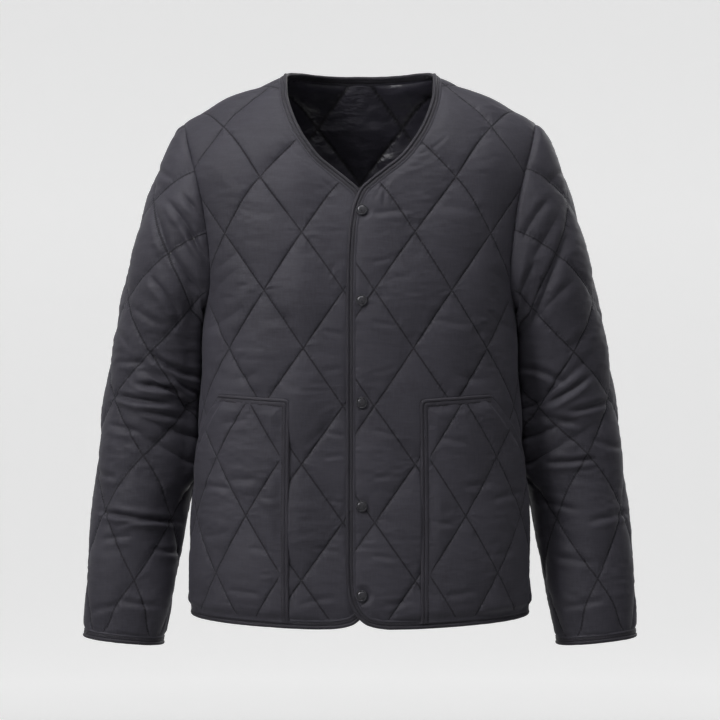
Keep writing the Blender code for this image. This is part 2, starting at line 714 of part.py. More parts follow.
def build_back(collection, root, mats):
    # bottom and neck edges
    side_a = float(girth(-0.6565))
    across = np.linspace(-side_a, side_a, 2 * N_HEM + 1)
    hem = np.column_stack([across, hem_q(across)])
    up = np.tile([0.0, 1.0], (len(hem), 1))
    hem_frames = Frames(hem, up, True)
    neck_line = back_neck_outline()
    neck_run = np.concatenate([[0], np.cumsum(np.linalg.norm(np.diff(neck_line, axis=0), axis=1))])
    normals = inward(neck_line, 1.0, True)
    sd = shoulder_dir()
    normals = seam_cut(neck_line, normals, sd * [-1, 1], 0.030, True)
    normals = seam_cut(neck_line[::-1], normals[::-1], sd, 0.030, True)[::-1]
    share = np.linspace(0, 1, N_BACK_NECK + 1)
    at = neck_run[-1] * (share - 0.45 * np.sin(math.tau * share) / math.tau)
    neck = np.column_stack([np.interp(at, neck_run, neck_line[:, i]) for i in (0, 1)])
    neck_in = np.column_stack([np.interp(at, neck_run, normals[:, i]) for i in (0, 1)])
    neck_frames = Frames(neck, neck_in, True)
    for frames in (hem_frames, neck_frames):
        for end in (0, -1):
            trim_end(frames, end, 1)

    bottom = hem + up * (BIND_W + 0.6 * MM)
    neck_rim = (neck + neck_in * (BIND_W + 0.6 * MM))[::-1]
    side_top = flat(float(hermite(BODY, ARMPIT_Z)[0]), ARMPIT_Z)
    seam = np.linspace(bottom[-1], side_top, N_SIDE + 1)
    seam[:, 0] = girth(seam[:, 1])
    right = np.vstack([seam[:-1], armhole_flat(N_ARM, True)])
    left = right * np.array([-1, 1])
    line = np.vstack([neck_rim[-1:], *[flat(x, ridge(x))[None] for x in np.linspace(0.112, SHOULDER_X, 6)]])
    shoulder = spaced(through(line, 200), N_BACK_SHOULDER)
    top = np.vstack([shoulder[::-1] * [-1, 1], neck_rim[1:-1], shoulder])
    grid = coons(bottom, top, left, right)
    rows, cols = grid.shape[:2]
    a, q = grid[..., 0].ravel(), grid[..., 1].ravel()
    mid = body_point(a, q, True)
    normal = body_normal(a, q, True)
    half = np.full(len(mid), HALF_WALL)
    index = np.arange(rows * cols).reshape(rows, cols)
    half[index[:, [0, -1]]] = HALF_SEAM
    half[index[-1, :]] = HALF_SEAM
    neck_cols = index[-1, N_BACK_SHOULDER : cols - N_BACK_SHOULDER]
    seams = np.concatenate(
        [
            index[1:N_SIDE, 0],
            index[1:N_SIDE, -1],
            index[-1, 1:N_BACK_SHOULDER],
            index[-1, cols - N_BACK_SHOULDER : -1],
        ]
    )
    normal[seams] = level(normal[seams])
    mid[seams] += [0, SEAM_GAP / 2, 0]
    mid[index[0]] = hem_frames.at(-0.6 * MM)
    normal[index[0]] = hem_frames.normal
    mid[neck_cols[::-1]] = neck_frames.at(-0.6 * MM)
    normal[neck_cols[::-1]] = neck_frames.normal
    half[index[0]] = half[neck_cols] = HALF_TONGUE
    offset = normal * half[:, None]
    turn = np.linspace(180, 360, N_ARM + 1)
    ring, shared = armhole_frame(np.where(turn == 360, 359.999, turn))
    for column, near, side in ((-1, -2, 1), (0, 1, -1)):
        arm = index[N_SIDE:, column]
        d = mid[index[N_SIDE:, near]] - mirror(ring, side)
        d /= np.linalg.norm(d, axis=1, keepdims=True)
        mid[arm] = mirror(ring, side) + d * SEAM_GAP / 2
        mid[arm[[0, -1]], 1] = ring[[0, -1], 1] + SEAM_GAP / 2
        offset[arm] = mirror(shared, side) * HALF_SEAM
    n = len(mid)
    hem_tongue, neck_tongue = hem_frames.at(TONGUE), neck_frames.at(TONGUE)[::-1]
    mid = np.vstack([mid, hem_tongue, neck_tongue])
    offset = np.vstack(
        [offset, hem_frames.normal * HALF_TONGUE, neck_frames.normal[::-1] * HALF_TONGUE]
    )
    faces = grid_faces(rows, cols)
    for k in range(cols - 1):
        faces.append([n + k, n + k + 1, index[0, k + 1], index[0, k]])
    m = n + len(hem_tongue)
    for k in range(len(neck_cols) - 1):
        faces.append([neck_cols[k], neck_cols[k + 1], m + k + 1, m + k])
    faces = [[int(i) for i in f][::-1] for f in faces]
    add_object("back", wall("back", mid, offset, faces), mats["cloth"], collection, root)
    for name, frames in (("binding_back_hem", hem_frames), ("binding_back_neck", neck_frames)):
        tape = tape_sections(frames)
        add_object(name, sweep(name, tape, False), mats["tape"], collection, root, 70)


def build_sleeve(side, collection, root, mats):
    label = "left" if side > 0 else "right"
    turn = np.arange(0, 360, 180 / N_ARM)
    rim_t = 1 - BIND_W / 0.42
    stations = list(SLEEVE_ROWS) + [rim_t]
    mid, offset = [], []
    ring, shared = armhole_frame(turn)
    for k, t in enumerate(stations):
        full = np.full(len(turn), t)
        p = sleeve_point(full, turn)
        n = sleeve_normal(full, turn)
        if k == 0:
            d = sleeve_point(np.full(len(turn), 0.02), turn) - ring
            d /= np.linalg.norm(d, axis=1, keepdims=True)
            p = ring + d * SEAM_GAP / 2
            n = shared * HALF_SEAM
        else:
            n = n * HALF_WALL
        mid.append(p)
        offset.append(n)
    # cuff: the end ring and the rim of its binding
    end = sleeve_point(np.full(len(turn), 1.0), turn)
    inner = mid[-1]
    out = end - inner
    axis = out.mean(axis=0)
    axis /= np.linalg.norm(axis)
    length = float((out @ axis).mean())
    out = np.tile(axis, (len(turn), 1))
    inner = end - out * BIND_W
    radial = sleeve_normal(np.full(len(turn), 0.97), turn)
    radial -= (radial @ axis)[:, None] * axis
    radial /= np.linalg.norm(radial, axis=1, keepdims=True)
    mid[-1] = inner - out * 0.6 * MM
    offset[-1] = radial * HALF_TONGUE
    mid.append(inner + out * TONGUE)
    offset.append(radial * HALF_TONGUE)
    mid, offset = np.vstack(mid), np.vstack(offset)
    faces = grid_faces(len(stations) + 1, len(turn), closed=True)
    if side < 0:
        faces = [f[::-1] for f in faces]
    mesh = wall(f"sleeve_{label}", mirror(mid, side), mirror(offset, side), faces)
    add_object(f"sleeve_{label}", mesh, mats["cloth"], collection, root)
    cuff = Frames.__new__(Frames)
    cuff.inner, cuff.out, cuff.normal, cuff.stretch = inner, out, radial, np.ones(len(turn))
    tape = [mirror(s, side) for s in tape_sections(cuff)]
    mesh = sweep(f"binding_cuff_{label}", tape, True)
    add_object(f"binding_cuff_{label}", mesh, mats["tape"], collection, root, 70)


def cloth_surface(a, q, on_top, lift):
    p = body_point(a, q, False)
    n = body_normal(a, q, False)
    return p + (lap(p[..., 0], on_top) + lift)[..., None] * n, n


# inner edge x of each pocket, and how far out its top corner stands from there
POCKET_INNER = {1: 0.0694, -1: 0.0812}
POCKET_REACH = 0.0827
POCKET_TOP_IN, POCKET_TOP_OUT = -0.3960, -0.3905
POCKET_SIDE_Z = -0.4950
POCKET_ROUND = 8.0 * MM


def pocket_lines(side):
    """Corners of a pocket in the cutting plane."""
    x0 = POCKET_INNER[side]
    lower = flat(x0, -0.6450)
    upper = flat(x0, POCKET_TOP_IN)
    outer = flat(x0 + POCKET_REACH, POCKET_TOP_OUT)
    mouth = np.array([float(girth(POCKET_SIDE_Z)) - 2 * MM, POCKET_SIDE_Z])
    return lower, upper, outer, mouth


def pocket_path(side):
    """Outer edge and inner rim of the band, from the mouth's top corner round and down."""
    lower, upper, outer, mouth = pocket_lines(side)
    low_q = float(hem_q(lower[0])) + BIND_W + 1.6 * MM
    along = (outer - upper) / np.linalg.norm(outer - upper)
    down = np.array([0.0, -1.0])
    under = np.array([along[1], -along[0]])  # square to the top line, downwards
    corner = upper + down * BAND_W / -under[1] + along * BAND_W / along[0]
    corner[0] = upper[0] + BAND_W
    corner[1] = (upper + under * BAND_W)[1] + along[1] / along[0] * (corner[0] - (upper + under * BAND_W)[0])
    r = POCKET_ROUND
    path = [upper + along * r, upper + along * r * 0.30 + down * r * 0.06]
    path += [upper + along * r * 0.06 + down * r * 0.30, upper + down * r]
    rim = [corner + along * k + down * m for k, m in ((1.2 * MM, 0), (0.4 * MM, 0.1 * MM))]
    rim += [corner + along * k + down * m for k, m in ((0.1 * MM, 0.4 * MM), (0, 1.2 * MM))]
    slant = (mouth - outer) / np.linalg.norm(mouth - outer)
    top_end = outer + slant * BAND_W / (slant @ under)
    top = np.linspace(outer, path[0], 5)[:-1]
    top_rim = np.linspace(top_end, rim[0], 5)[:-1]
    side_q = np.linspace(path[-1][1], low_q, 7)[1:]
    rim_q = np.linspace(rim[-1][1], low_q, 7)[1:]
    side_line = np.column_stack([np.full(6, upper[0]), side_q])
    side_rim = np.column_stack([np.full(6, corner[0]), rim_q])
    return np.vstack([top, path, side_line]), np.vstack([top_rim, rim, side_rim]), corner, top_end


def build_pocket(side, on_top, collection, root, mats):
    label = "left" if side > 0 else "right"
    _, _, _, mouth = pocket_lines(side)
    path, rim, corner, top_end = pocket_path(side)
    # band: a flat folded strip on the front
    sections = []
    for e, r in zip(path, rim):
        pe, ne = cloth_surface(e[0], e[1], on_top, POCKET_LIFT)
        pr, _ = cloth_surface(r[0], r[1], on_top, POCKET_LIFT)
        w = np.linalg.norm(pe - pr)
        d = (pe - pr) / w
        h = BAND_HALF
        sections.append(
            np.array(
                [
                    pr + ne * h * 0.9,
                    pr + d * (w - 1.2 * MM) + ne * h,
                    pr + d * w + ne * h * 0.2,
                    pr + d * w - ne * h,
                    pr - ne * h,
                ]
            )
        )
    sections = [mirror(s, side) for s in sections]
    mesh = sweep(f"pocket_band_{label}", sections, False)
    add_object(f"pocket_band_{label}", mesh, mats["tape"], collection, root, 60)
    # pocket cloth inside the band
    gap = 0.4 * MM
    slope = (top_end - corner) / np.linalg.norm(top_end - corner)
    inner = corner + np.array([gap, -gap + slope[1] / slope[0] * gap])
    slant = (mouth - top_end) / np.linalg.norm(mouth - top_end)
    outer_end = top_end + slant * gap * 1.2
    low_q = path[-1][1]
    low_end = np.array([float(girth(low_q)) - 2 * MM, low_q + 8 * MM])
    bottom = np.linspace([inner[0], low_q], low_end, 9)
    bottom[:, 1] = np.maximum(bottom[:, 1], hem_q(bottom[:, 0]) + BIND_W + 1.6 * MM)
    left = np.linspace(bottom[0], inner, 10)
    top = np.linspace(inner, outer_end, 9)
    seam = np.linspace(bottom[-1], mouth, 6)
    seam[:, 0] = girth(seam[:, 1]) - 2 * MM
    right = np.vstack([seam[:-1], np.linspace(seam[-1], outer_end, 5)])
    grid = coons(bottom, top, left, right)
    rows, cols = grid.shape[:2]
    a, q = grid[..., 0].ravel(), grid[..., 1].ravel()
    mid, normal = cloth_surface(a, q, on_top, np.full(len(a), POCKET_LIFT))
    faces = grid_faces(rows, cols)
    if side < 0:
        faces = [f[::-1] for f in faces]
    offset = mirror(normal * POCKET_HALF, side)
    mesh = wall(f"pocket_{label}", mirror(mid, side), offset, faces)
    add_object(f"pocket_{label}", mesh, mats["cloth"], collection, root)


# snap halves as turned profiles: radius and height in mm from the cloth outwards
CAP_PROFILE = ((0.0, 2.0), (4.6, 2.0), (5.7, 2.4), (6.7, 1.5), (6.8, 0.0), (0.0, 0.0))
SOCKET_PROFILE = ((2.4, 1.0), (5.3, 1.0), (5.6, 0.0), (2.4, 0.0), (2.4, 1.0))
STUD_PROFILE = ((0.0, 1.6), (1.5, 1.6), (1.8, 0.8), (5.0, 0.8), (5.3, 0.0), (0.0, 0.0))
BACK_PROFILE = ((0.0, 1.2), (4.0, 1.2), (5.3, 0.6), (5.3, 0.0), (0.0, 0.0))


def turned(name, profile, point, axis, mat, collection, root, steps):
    """A closed turned solid: the profile is screwed about the given axis."""
    bm = bmesh.new()
    verts = [bm.verts.new((r * MM, 0, h * MM)) for r, h in profile]
    if profile[0] == profile[-1]:
        verts[-1] = verts[0]
    for a, b in zip(verts, verts[1:]):
        bm.edges.new((a, b))
    loose = [v for v in bm.verts if not v.link_edges]
    bmesh.ops.delete(bm, geom=loose, context="VERTS")
    mesh = bpy.data.meshes.new(name)
    bm.to_mesh(mesh)
    bm.free()
    obj = add_object(name, mesh, mat, collection, root, 30)
    screw = obj.modifiers.new("turn", "SCREW")
    screw.axis = "Z"
    screw.angle = math.tau
    screw.steps = screw.render_steps = steps
    screw.use_merge_vertices = True
    screw.merge_threshold = 0.00001
    screw.use_smooth_shade = True
    rot = Vector((0, 0, 1)).rotation_difference(Vector(axis)).to_matrix().to_4x4()
    obj.matrix_world = Matrix.Translation(Vector(point)) @ rot
    return obj


def build_snaps(collection, root, mats):
    for k, z in enumerate(SNAP_Z, 1):
        a, q = flat(SNAP_X, z)
        p = body_point(a, q, False)
        n = body_normal(a, q, False)
        rest = (BIND_HALF - PRESS if z in PRESS_Z else HALF_LAP) + 0.34 * MM
        out = LAP + rest
        turned(f"snap_cap_{k}", CAP_PROFILE, p + n * out, n, mats["cap"], collection, root, 20)
        low = LAP - rest
        turned(f"snap_socket_{k}", SOCKET_PROFILE, p + n * low, -n, mats["metal"], collection, root, 12)
        up = -LAP + rest
        turned(f"snap_stud_{k}", STUD_PROFILE, p + n * up, n, mats["metal"], collection, root, 12)
        back = -LAP - rest
        turned(f"snap_back_{k}", BACK_PROFILE, p + n * back, -n, mats["metal"], collection, root, 12)


def main():
    for obj in list(bpy.data.objects):
        bpy.data.objects.remove(obj)
    collection = bpy.data.collections.new(NAME)
    bpy.context.scene.collection.children.link(collection)
    root = bpy.data.objects.new("jacket_origin", None)
    collection.objects.link(root)
    mats = {
        "cloth": material("quilted_cloth", CHARCOAL, 0.55),
        "tape": material("edge_tape", TAPE, 0.5),
        "cap": material("snap_cap", CAP, 0.4, 0.2),
        "metal": material("snap_metal", (0.10, 0.10, 0.11), 0.35, 0.9),
    }
    build_front(1, True, collection, root, mats)
    build_front(-1, False, collection, root, mats)
    build_back(collection, root, mats)
    build_sleeve(1, collection, root, mats)
    build_sleeve(-1, collection, root, mats)
    build_pocket(1, True, collection, root, mats)
    build_pocket(-1, False, collection, root, mats)
    build_snaps(collection, root, mats)
    bpy.context.view_layer.update()


main()
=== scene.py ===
"""Quilted collarless jacket: the looks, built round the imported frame.

Each quilted piece is a closed shell of two cloth layers. It is laid out in the same
cutting plane as its solid, and its vertices are slid onto the quilting lines, so that
the stitched creases, the puffs between them, the puckers and the folds are all shape.
"""

import json
import math

import bpy
import numpy as np
from mathutils import Matrix, Vector
from mathutils.bvhtree import BVHTree
from mathutils.kdtree import KDTree

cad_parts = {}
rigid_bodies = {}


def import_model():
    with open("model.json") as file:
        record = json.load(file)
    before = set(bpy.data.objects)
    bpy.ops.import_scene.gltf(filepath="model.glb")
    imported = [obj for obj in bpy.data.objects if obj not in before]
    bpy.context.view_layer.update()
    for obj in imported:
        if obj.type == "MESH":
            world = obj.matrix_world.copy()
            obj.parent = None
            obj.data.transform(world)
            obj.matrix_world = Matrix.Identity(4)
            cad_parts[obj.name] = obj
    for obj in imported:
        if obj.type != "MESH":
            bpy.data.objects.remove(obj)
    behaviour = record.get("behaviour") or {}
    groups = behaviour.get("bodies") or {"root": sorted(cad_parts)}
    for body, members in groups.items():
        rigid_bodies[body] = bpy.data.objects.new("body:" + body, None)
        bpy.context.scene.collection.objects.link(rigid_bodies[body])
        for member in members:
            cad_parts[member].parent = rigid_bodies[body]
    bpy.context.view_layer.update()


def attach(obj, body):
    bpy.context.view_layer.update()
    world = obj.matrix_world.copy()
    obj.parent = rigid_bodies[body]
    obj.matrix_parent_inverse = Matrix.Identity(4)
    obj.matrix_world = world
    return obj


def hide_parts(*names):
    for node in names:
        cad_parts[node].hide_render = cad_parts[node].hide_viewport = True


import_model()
MM = 0.001
BACKDROP = (0.64, 0.64, 0.64)

# ------------------------------------------------------------------ driving sizes
HALF_WALL = 2.0 * MM  # quilted cloth, half its mean thickness
HALF_SEAM = 1.3 * MM  # half thickness where two pieces are sewn together
HALF_TONGUE = 0.55 * MM  # pressed edge held inside a binding
SEAM_GAP = 0.36 * MM
BIND_W = 8.5 * MM  # width of the bound edge
BIND_HALF = 2.5 * MM  # half thickness of the binding
SLOT_DEPTH = 5.3 * MM
TONGUE = 4.8 * MM
SLOT_HALF = 1.0 * MM
LAP = 3.3 * MM  # each front stands this far from the form where they overlap
HALF_LAP = 1.5 * MM  # half thickness of the fronts where they overlap
LAP_FULL, LAP_NONE = 0.026, 0.078  # the lap fades out between these x
SNAP_X = 1.9 * MM
PRESS_Z = (-0.1739, -0.6264)  # the top and bottom snaps lie on the bindings
PRESS = 0.7 * MM  # and press them this much thinner
SNAP_Z = (-0.1739, -0.2803, -0.3998, -0.5214, -0.6264)
POCKET_HALF = 1.2 * MM
POCKET_LIFT = 4.5 * MM  # middle of the pocket's cloth above the middle of the front
BAND_W = 9.6 * MM
BAND_HALF = 1.5 * MM
SHOULDER_X = 0.2145
ARMPIT_Z = -0.2920
ROUND = 2.35  # exponent of the rounded sections
TOP_H, TOP_B = 0.100, 0.085  # rounding over the shoulders: height and depth

# height, half width, depth in front, depth behind, y of the side line
BODY = (
    (0.060, 0.2340, 0.045, 0.070, 0.000),
    (0.000, 0.2335, 0.056, 0.080, 0.000),
    (-0.060, 0.2310, 0.076, 0.098, 0.000),
    (-0.110, 0.2255, 0.094, 0.112, 0.000),
    (-0.162, 0.2130, 0.107, 0.120, 0.000),
    (-0.222, 0.2005, 0.114, 0.124, -0.002),
    (-0.265, 0.1930, 0.115, 0.125, -0.005),
    (-0.300, 0.1895, 0.114, 0.126, -0.008),
    (-0.345, 0.1895, 0.111, 0.124, -0.011),
    (-0.435, 0.1945, 0.108, 0.119, -0.012),
    (-0.512, 0.2005, 0.108, 0.119, -0.012),
    (-0.594, 0.2045, 0.110, 0.121, -0.012),
    (-0.665, 0.2052, 0.112, 0.123, -0.012),
    (-0.700, 0.2052, 0.112, 0.123, -0.012),
)
# x, height of the shoulder line
RIDGE = (
    (0.0000, 0.0686),
    (0.0200, 0.0620),
    (0.0400, 0.0475),
    (0.0600, 0.0290),
    (0.0740, 0.0125),
    (0.0830, 0.0030),
    (0.0885, -0.0015),
    (0.1098, -0.0140),
    (0.1342, -0.0245),
    (0.1586, -0.0343),
    (0.1830, -0.0458),
    (0.2000, -0.0545),
    (0.2145, -0.0635),
    (0.2350, -0.0780),
)
# outer edge of a front: x, height, from the hem up to the neck end of the shoulder seam
FRONT_EDGE = (
    (-0.0165, -0.5700),
    (-0.0165, -0.4500),
    (-0.0165, -0.3500),
    (-0.0163, -0.2675),
    (-0.0146, -0.2086),
    (-0.0120, -0.1839),
    (-0.0094, -0.1702),
    (-0.0056, -0.1595),
    (0.0000, -0.1480),
    (0.0136, -0.1352),
    (0.0298, -0.1222),
    (0.0475, -0.1073),
    (0.0628, -0.0878),
    (0.0755, -0.0650),
    (0.0848, -0.0400),
    (0.0882, -0.0150),
)
CORNER = (  # rounded lower corner, from the hem round to the front edge
    (0.0470, -0.6665),
    (0.0278, -0.6658),
    (0.0158, -0.6638),
    (0.0067, -0.6606),
    (0.0007, -0.6560),
    (-0.0048, -0.6495),
    (-0.0098, -0.6405),
    (-0.0135, -0.6300),
    (-0.0156, -0.6170),
    (-0.0164, -0.5960),
)
# share of the way round to the side line, height of the hem
HEM = (
    (0.00, -0.6668),
    (0.20, -0.6665),
    (0.50, -0.6635),
    (0.75, -0.6600),
    (1.00, -0.6565),
)
NECK_X = 0.0885  # neck end of the shoulder seam
BACK_NECK = (  # x, y of the back neck edge from above
    (0.0885, 0.0000),
    (0.0872, 0.0065),
    (0.0830, 0.0150),
    (0.0740, 0.0330),
    (0.0600, 0.0524),
    (0.0400, 0.0660),
    (0.0200, 0.0728),
    (0.0000, 0.0750),
)
# turn round the armhole from its top, x as a share of the half width: front, back
ARMHOLE = (
    (0.0, 0.9257, 0.9257),
    (30.0, 0.914, 0.926),
    (60.0, 0.890, 0.916),
    (90.0, 0.889, 0.911),
    (120.0, 0.907, 0.922),
    (150.0, 0.955, 0.958),
    (165.0, 0.987, 0.987),
    (180.0, 1.0, 1.0),
)
# share of the sleeve, outer line x and z, inner line x and z, y of its middle, half depth
SLEEVE = (
    (0.00, 0.2145, -0.0635, 0.1895, -0.2920, 0.000, 0.0620),
    (0.05, 0.2280, -0.0870, 0.1925, -0.2945, 0.001, 0.0650),
    (0.11, 0.2425, -0.1210, 0.1955, -0.3000, 0.004, 0.0680),
    (0.18, 0.2565, -0.1600, 0.1960, -0.3150, 0.008, 0.0690),
    (0.27, 0.2729, -0.2210, 0.1940, -0.3400, 0.015, 0.0685),
    (0.38, 0.2885, -0.2900, 0.1920, -0.3850, 0.024, 0.0655),
    (0.50, 0.3030, -0.3670, 0.1930, -0.4400, 0.031, 0.0620),
    (0.62, 0.3130, -0.4420, 0.2020, -0.4950, 0.033, 0.0590),
    (0.74, 0.3210, -0.5200, 0.2165, -0.5510, 0.029, 0.0540),
    (0.87, 0.3290, -0.6050, 0.2285, -0.6200, 0.020, 0.0470),
    (1.00, 0.3335, -0.6880, 0.2420, -0.6976, 0.012, 0.0400),
)
# creases pressed into each sleeve: share of the sleeve, turn, length, width, depth, slant
SLEEVE_FOLDS = (
    (0.455, 140.0, 70.0, 0.012, 4.0 * MM, 0.010),
    (0.520, 165.0, 80.0, 0.012, 5.0 * MM, -0.012),
    (0.585, 130.0, 60.0, 0.011, 3.0 * MM, 0.010),
)
SLEEVE_CLEAR = 10.0 * MM  # middle of the sleeve's cloth to the middle of the body's


# ------------------------------------------------------------------ form
def hermite(rows, key):
    """Smooth curve through a table whose first column is the key."""
    rows = np.asarray(rows, float)
    k, v = rows[:, 0], rows[:, 1:]
    if k[0] > k[-1]:
        k, v = k[::-1], v[::-1]
    step = np.diff(k)[:, None]
    slope = np.diff(v, axis=0) / step
    m = np.empty_like(v)
    m[0], m[-1] = slope[0], slope[-1]
    m[1:-1] = (slope[:-1] * step[1:] + slope[1:] * step[:-1]) / (step[1:] + step[:-1])
    key = np.clip(np.asarray(key, float), k[0], k[-1])
    i = np.clip(np.searchsorted(k, key, side="right") - 1, 0, len(k) - 2)
    h = (k[i + 1] - k[i])[..., None]
    u = (key - k[i])[..., None] / h
    out = (
        (2 * u**3 - 3 * u**2 + 1) * v[i]
        + (u**3 - 2 * u**2 + u) * h * m[i]
        + (-2 * u**3 + 3 * u**2) * v[i + 1]
        + (u**3 - u**2) * h * m[i + 1]
    )
    return np.moveaxis(out, -1, 0)


def through(points, count=400):
    """Dense smooth line through the points, by chord length."""
    points = np.asarray(points, float)
    run = np.concatenate([[0], np.cumsum(np.linalg.norm(np.diff(points, axis=0), axis=1))])
    rows = np.column_stack([run, points])
    return hermite(rows, np.linspace(0, run[-1], count)).T


def spaced(line, count):
    """count + 1 points at equal distances along a dense line."""
    run = np.concatenate([[0], np.cumsum(np.linalg.norm(np.diff(line, axis=0), axis=1))])
    at = np.linspace(0, run[-1], count + 1)
    return np.column_stack([np.interp(at, run, line[:, i]) for i in range(line.shape[1])])


def smooth(x):
    x = np.clip(x, 0, 1)
    return x * x * (3 - 2 * x)


def quarter_table():
    turn = np.linspace(0, math.pi / 2, 1441)
    x, y = np.sin(turn) ** (2 / ROUND), np.cos(turn) ** (2 / ROUND)
    run = np.concatenate([[0], np.cumsum(np.hypot(np.diff(x), 0.58 * np.diff(y)))])
    return run / run[-1], x, y


ARC_S, ARC_X, ARC_Y = quarter_table()
RATIOS = np.linspace(0.15, 0.75, 13)
TURNS = np.linspace(0, math.pi / 2, 721)
QUARTERS = np.array(
    [
        np.hypot(np.diff(np.sin(TURNS) ** (2 / ROUND)), r * np.diff(np.cos(TURNS) ** (2 / ROUND))).sum()
        for r in RATIOS
    ]
)
TOP_V = math.pi / 2 * math.sqrt((TOP_H**2 + TOP_B**2) / 2)
TOP_Q = TOP_V - TOP_H


def ridge(x):
    return hermite(RIDGE, np.abs(x))[0]


def girth(z):
    """Distance from the centre line to the side line, mean of front and back."""
    half, front, back, _ = hermite(BODY, z)
    return half * np.interp((front + back) / 2 / half, RATIOS, QUARTERS)


def body_point(a, q, behind):
    """The form's point at (a, q). behind is False in front and True at the back."""
    a, q = np.broadcast_arrays(np.asarray(a, float), np.asarray(q, float))
    z = q.copy()
    for _ in range(14):
        half, front, back, seam_y = hermite(BODY, z)
        s = np.clip(np.abs(a) / girth(z), 0, 1)
        x = half * np.interp(s, ARC_S, ARC_X)
        top = ridge(x)
        v = top + TOP_Q - q
        turn = np.clip(v / TOP_V, 0, 1) * math.pi / 2
        drop = np.where(v < TOP_V, TOP_H * (1 - np.cos(turn)), TOP_H + v - TOP_V)
        z = top - drop
    depth = np.interp(s, ARC_S, ARC_Y) * np.sin(turn)
    y = seam_y * np.sin(turn) + np.where(behind, back, -front) * depth
    return np.stack([np.sign(a) * x, y, z], axis=-1)


def flat(x, z):
    """(a, q) of the form's point at x and z."""
    x, z = np.asarray(x, float), np.asarray(z, float)
    half = hermite(BODY, z)[0]
    s = np.interp(np.clip(np.abs(x) / half, 0, 1), ARC_X, ARC_S)
    drop = np.clip(ridge(x) - z, 0, None)
    turn = np.arccos(np.clip(1 - drop / TOP_H, 0, 1))
    v = np.where(drop < TOP_H, TOP_V * turn / (math.pi / 2), TOP_V + drop - TOP_H)
    return np.stack([np.sign(x) * s * girth(z), ridge(x) + TOP_Q - v], axis=-1)


def body_normal(a, q, behind):
    """Outward normal, by small steps kept just below the shoulder line."""
    e = 0.0006
    a, q = np.broadcast_arrays(np.asarray(a, float), np.asarray(q, float))
    q = np.minimum(q, ridge(body_point(a, q, behind)[..., 0]) + TOP_Q - 3 * e)
    pa = body_point(a + e, q, behind) - body_point(a - e, q, behind)
    pq = body_point(a, q + e, behind) - body_point(a, q - e, behind)
    n = np.cross(pq, pa) if behind else np.cross(pa, pq)
    n[..., 1] += np.where(np.asarray(behind), 1e-12, -1e-12)
    return n / np.linalg.norm(n, axis=-1, keepdims=True)


def lap(x, on_top):
    """How far a front stands off the form near the centre; the under one goes inward."""
    reach = smooth((LAP_NONE - x) / (LAP_NONE - LAP_FULL))
    return LAP * reach * (1 if on_top else -1)


# ------------------------------------------------------------------ cutting plane
def hem_q(a):
    s = np.abs(a) / girth(-0.66)
    return hermite(HEM, s)[0]


def front_outline():
    """The front's outer edge in the cutting plane, hem side seam to shoulder seam."""
    corner = np.array(CORNER)
    corner_flat = flat(corner[:, 0], corner[:, 1])
    side_a = float(girth(-0.6565))
    along = np.linspace(side_a, corner_flat[0, 0] + 0.012, 8)
    hem = np.column_stack([along, hem_q(along)])
    edge = np.array(FRONT_EDGE)
    edge_flat = flat(edge[:, 0], edge[:, 1])
    end = flat(np.array([NECK_X]), ridge(np.array([NECK_X])))
    return through(np.vstack([hem, corner_flat, edge_flat, end]), 1600)


def back_neck_outline():
    x, y = np.array(BACK_NECK).T
    half, _, behind, _ = hermite(BODY, np.zeros(len(x)))
    share = np.interp(x / half, ARC_X, ARC_S)
    turn = np.arcsin(y / (behind * np.interp(share, ARC_S, ARC_Y)))
    z = ridge(x) - TOP_H * (1 - np.cos(turn))
    q = ridge(x) + TOP_Q - TOP_V * turn / (math.pi / 2)
    right = np.column_stack([share * girth(z), q])
    left = right[::-1][1:] * np.array([-1, 1])
    return through(np.vstack([right, left]), 800)


def spread(points, behind):
    """How far a step along a and a step along q go on the form: the metric at each point."""
    e = 0.0015
    a, q = points.T
    inner = np.where(a >= 0, -e, e)
    here = body_point(a, q, behind)
    pa = (here - body_point(a + inner, q, behind)) / -inner[:, None]
    pq = (here - body_point(a, q - e, behind)) / e
    return (pa * pa).sum(1), (pa * pq).sum(1), (pq * pq).sum(1)


def inward(line, sign, behind):
    """Steps of unit length on the form, square to a flat line, turned to its sign side."""
    t = np.gradient(line, axis=0)
    u, w = sign * -t[:, 1], sign * t[:, 0]
    g, f, h = spread(line, behind)
    n = np.column_stack([h * u - f * w, g * w - f * u])
    size = np.sqrt(g * n[:, 0] ** 2 + 2 * f * n[:, 0] * n[:, 1] + h * n[:, 1] ** 2)
    return n / size[:, None]


def seam_cut(line, normals, end_dir, reach, behind):
    """Turns the steps near the last station to lie along the seam that ends the line."""
    run = np.concatenate([[0], np.cumsum(np.linalg.norm(np.diff(line, axis=0), axis=1))])
    w = smooth(1 - (run[-1] - run) / reach)[:, None]
    n = normals * (1 - w) + end_dir * w
    g, f, h = spread(line, behind)
    size = np.sqrt(g * n[:, 0] ** 2 + 2 * f * n[:, 0] * n[:, 1] + h * n[:, 1] ** 2)
    return n / size[:, None]


def shoulder_dir():
    """A step of unit length on the form, along the shoulder seam from its neck end."""
    x = np.array([NECK_X, 0.1050])
    p = flat(x, ridge(x))
    return (p[1] - p[0]) / np.hypot(x[1] - x[0], ridge(x[1]) - ridge(x[0]))


def armhole_flat(count, behind):
    """The armhole from the armpit up to the shoulder point, in the cutting plane."""
    turn = np.linspace(180, 0, count + 1)
    return armhole_at(turn, behind)


def armhole_at(turn, behind):
    top = float(ridge(SHOULDER_X))
    z = (top + ARMPIT_Z) / 2 + (top - ARMPIT_Z) / 2 * np.cos(np.radians(turn))
    share = hermite(ARMHOLE, turn)[1 if behind else 0]
    half = hermite(BODY, z)[0]
    pts = flat(half * share, z)
    if np.ndim(turn):
        pts[np.asarray(turn) == 0] = flat(SHOULDER_X, ridge(SHOULDER_X))
    return pts


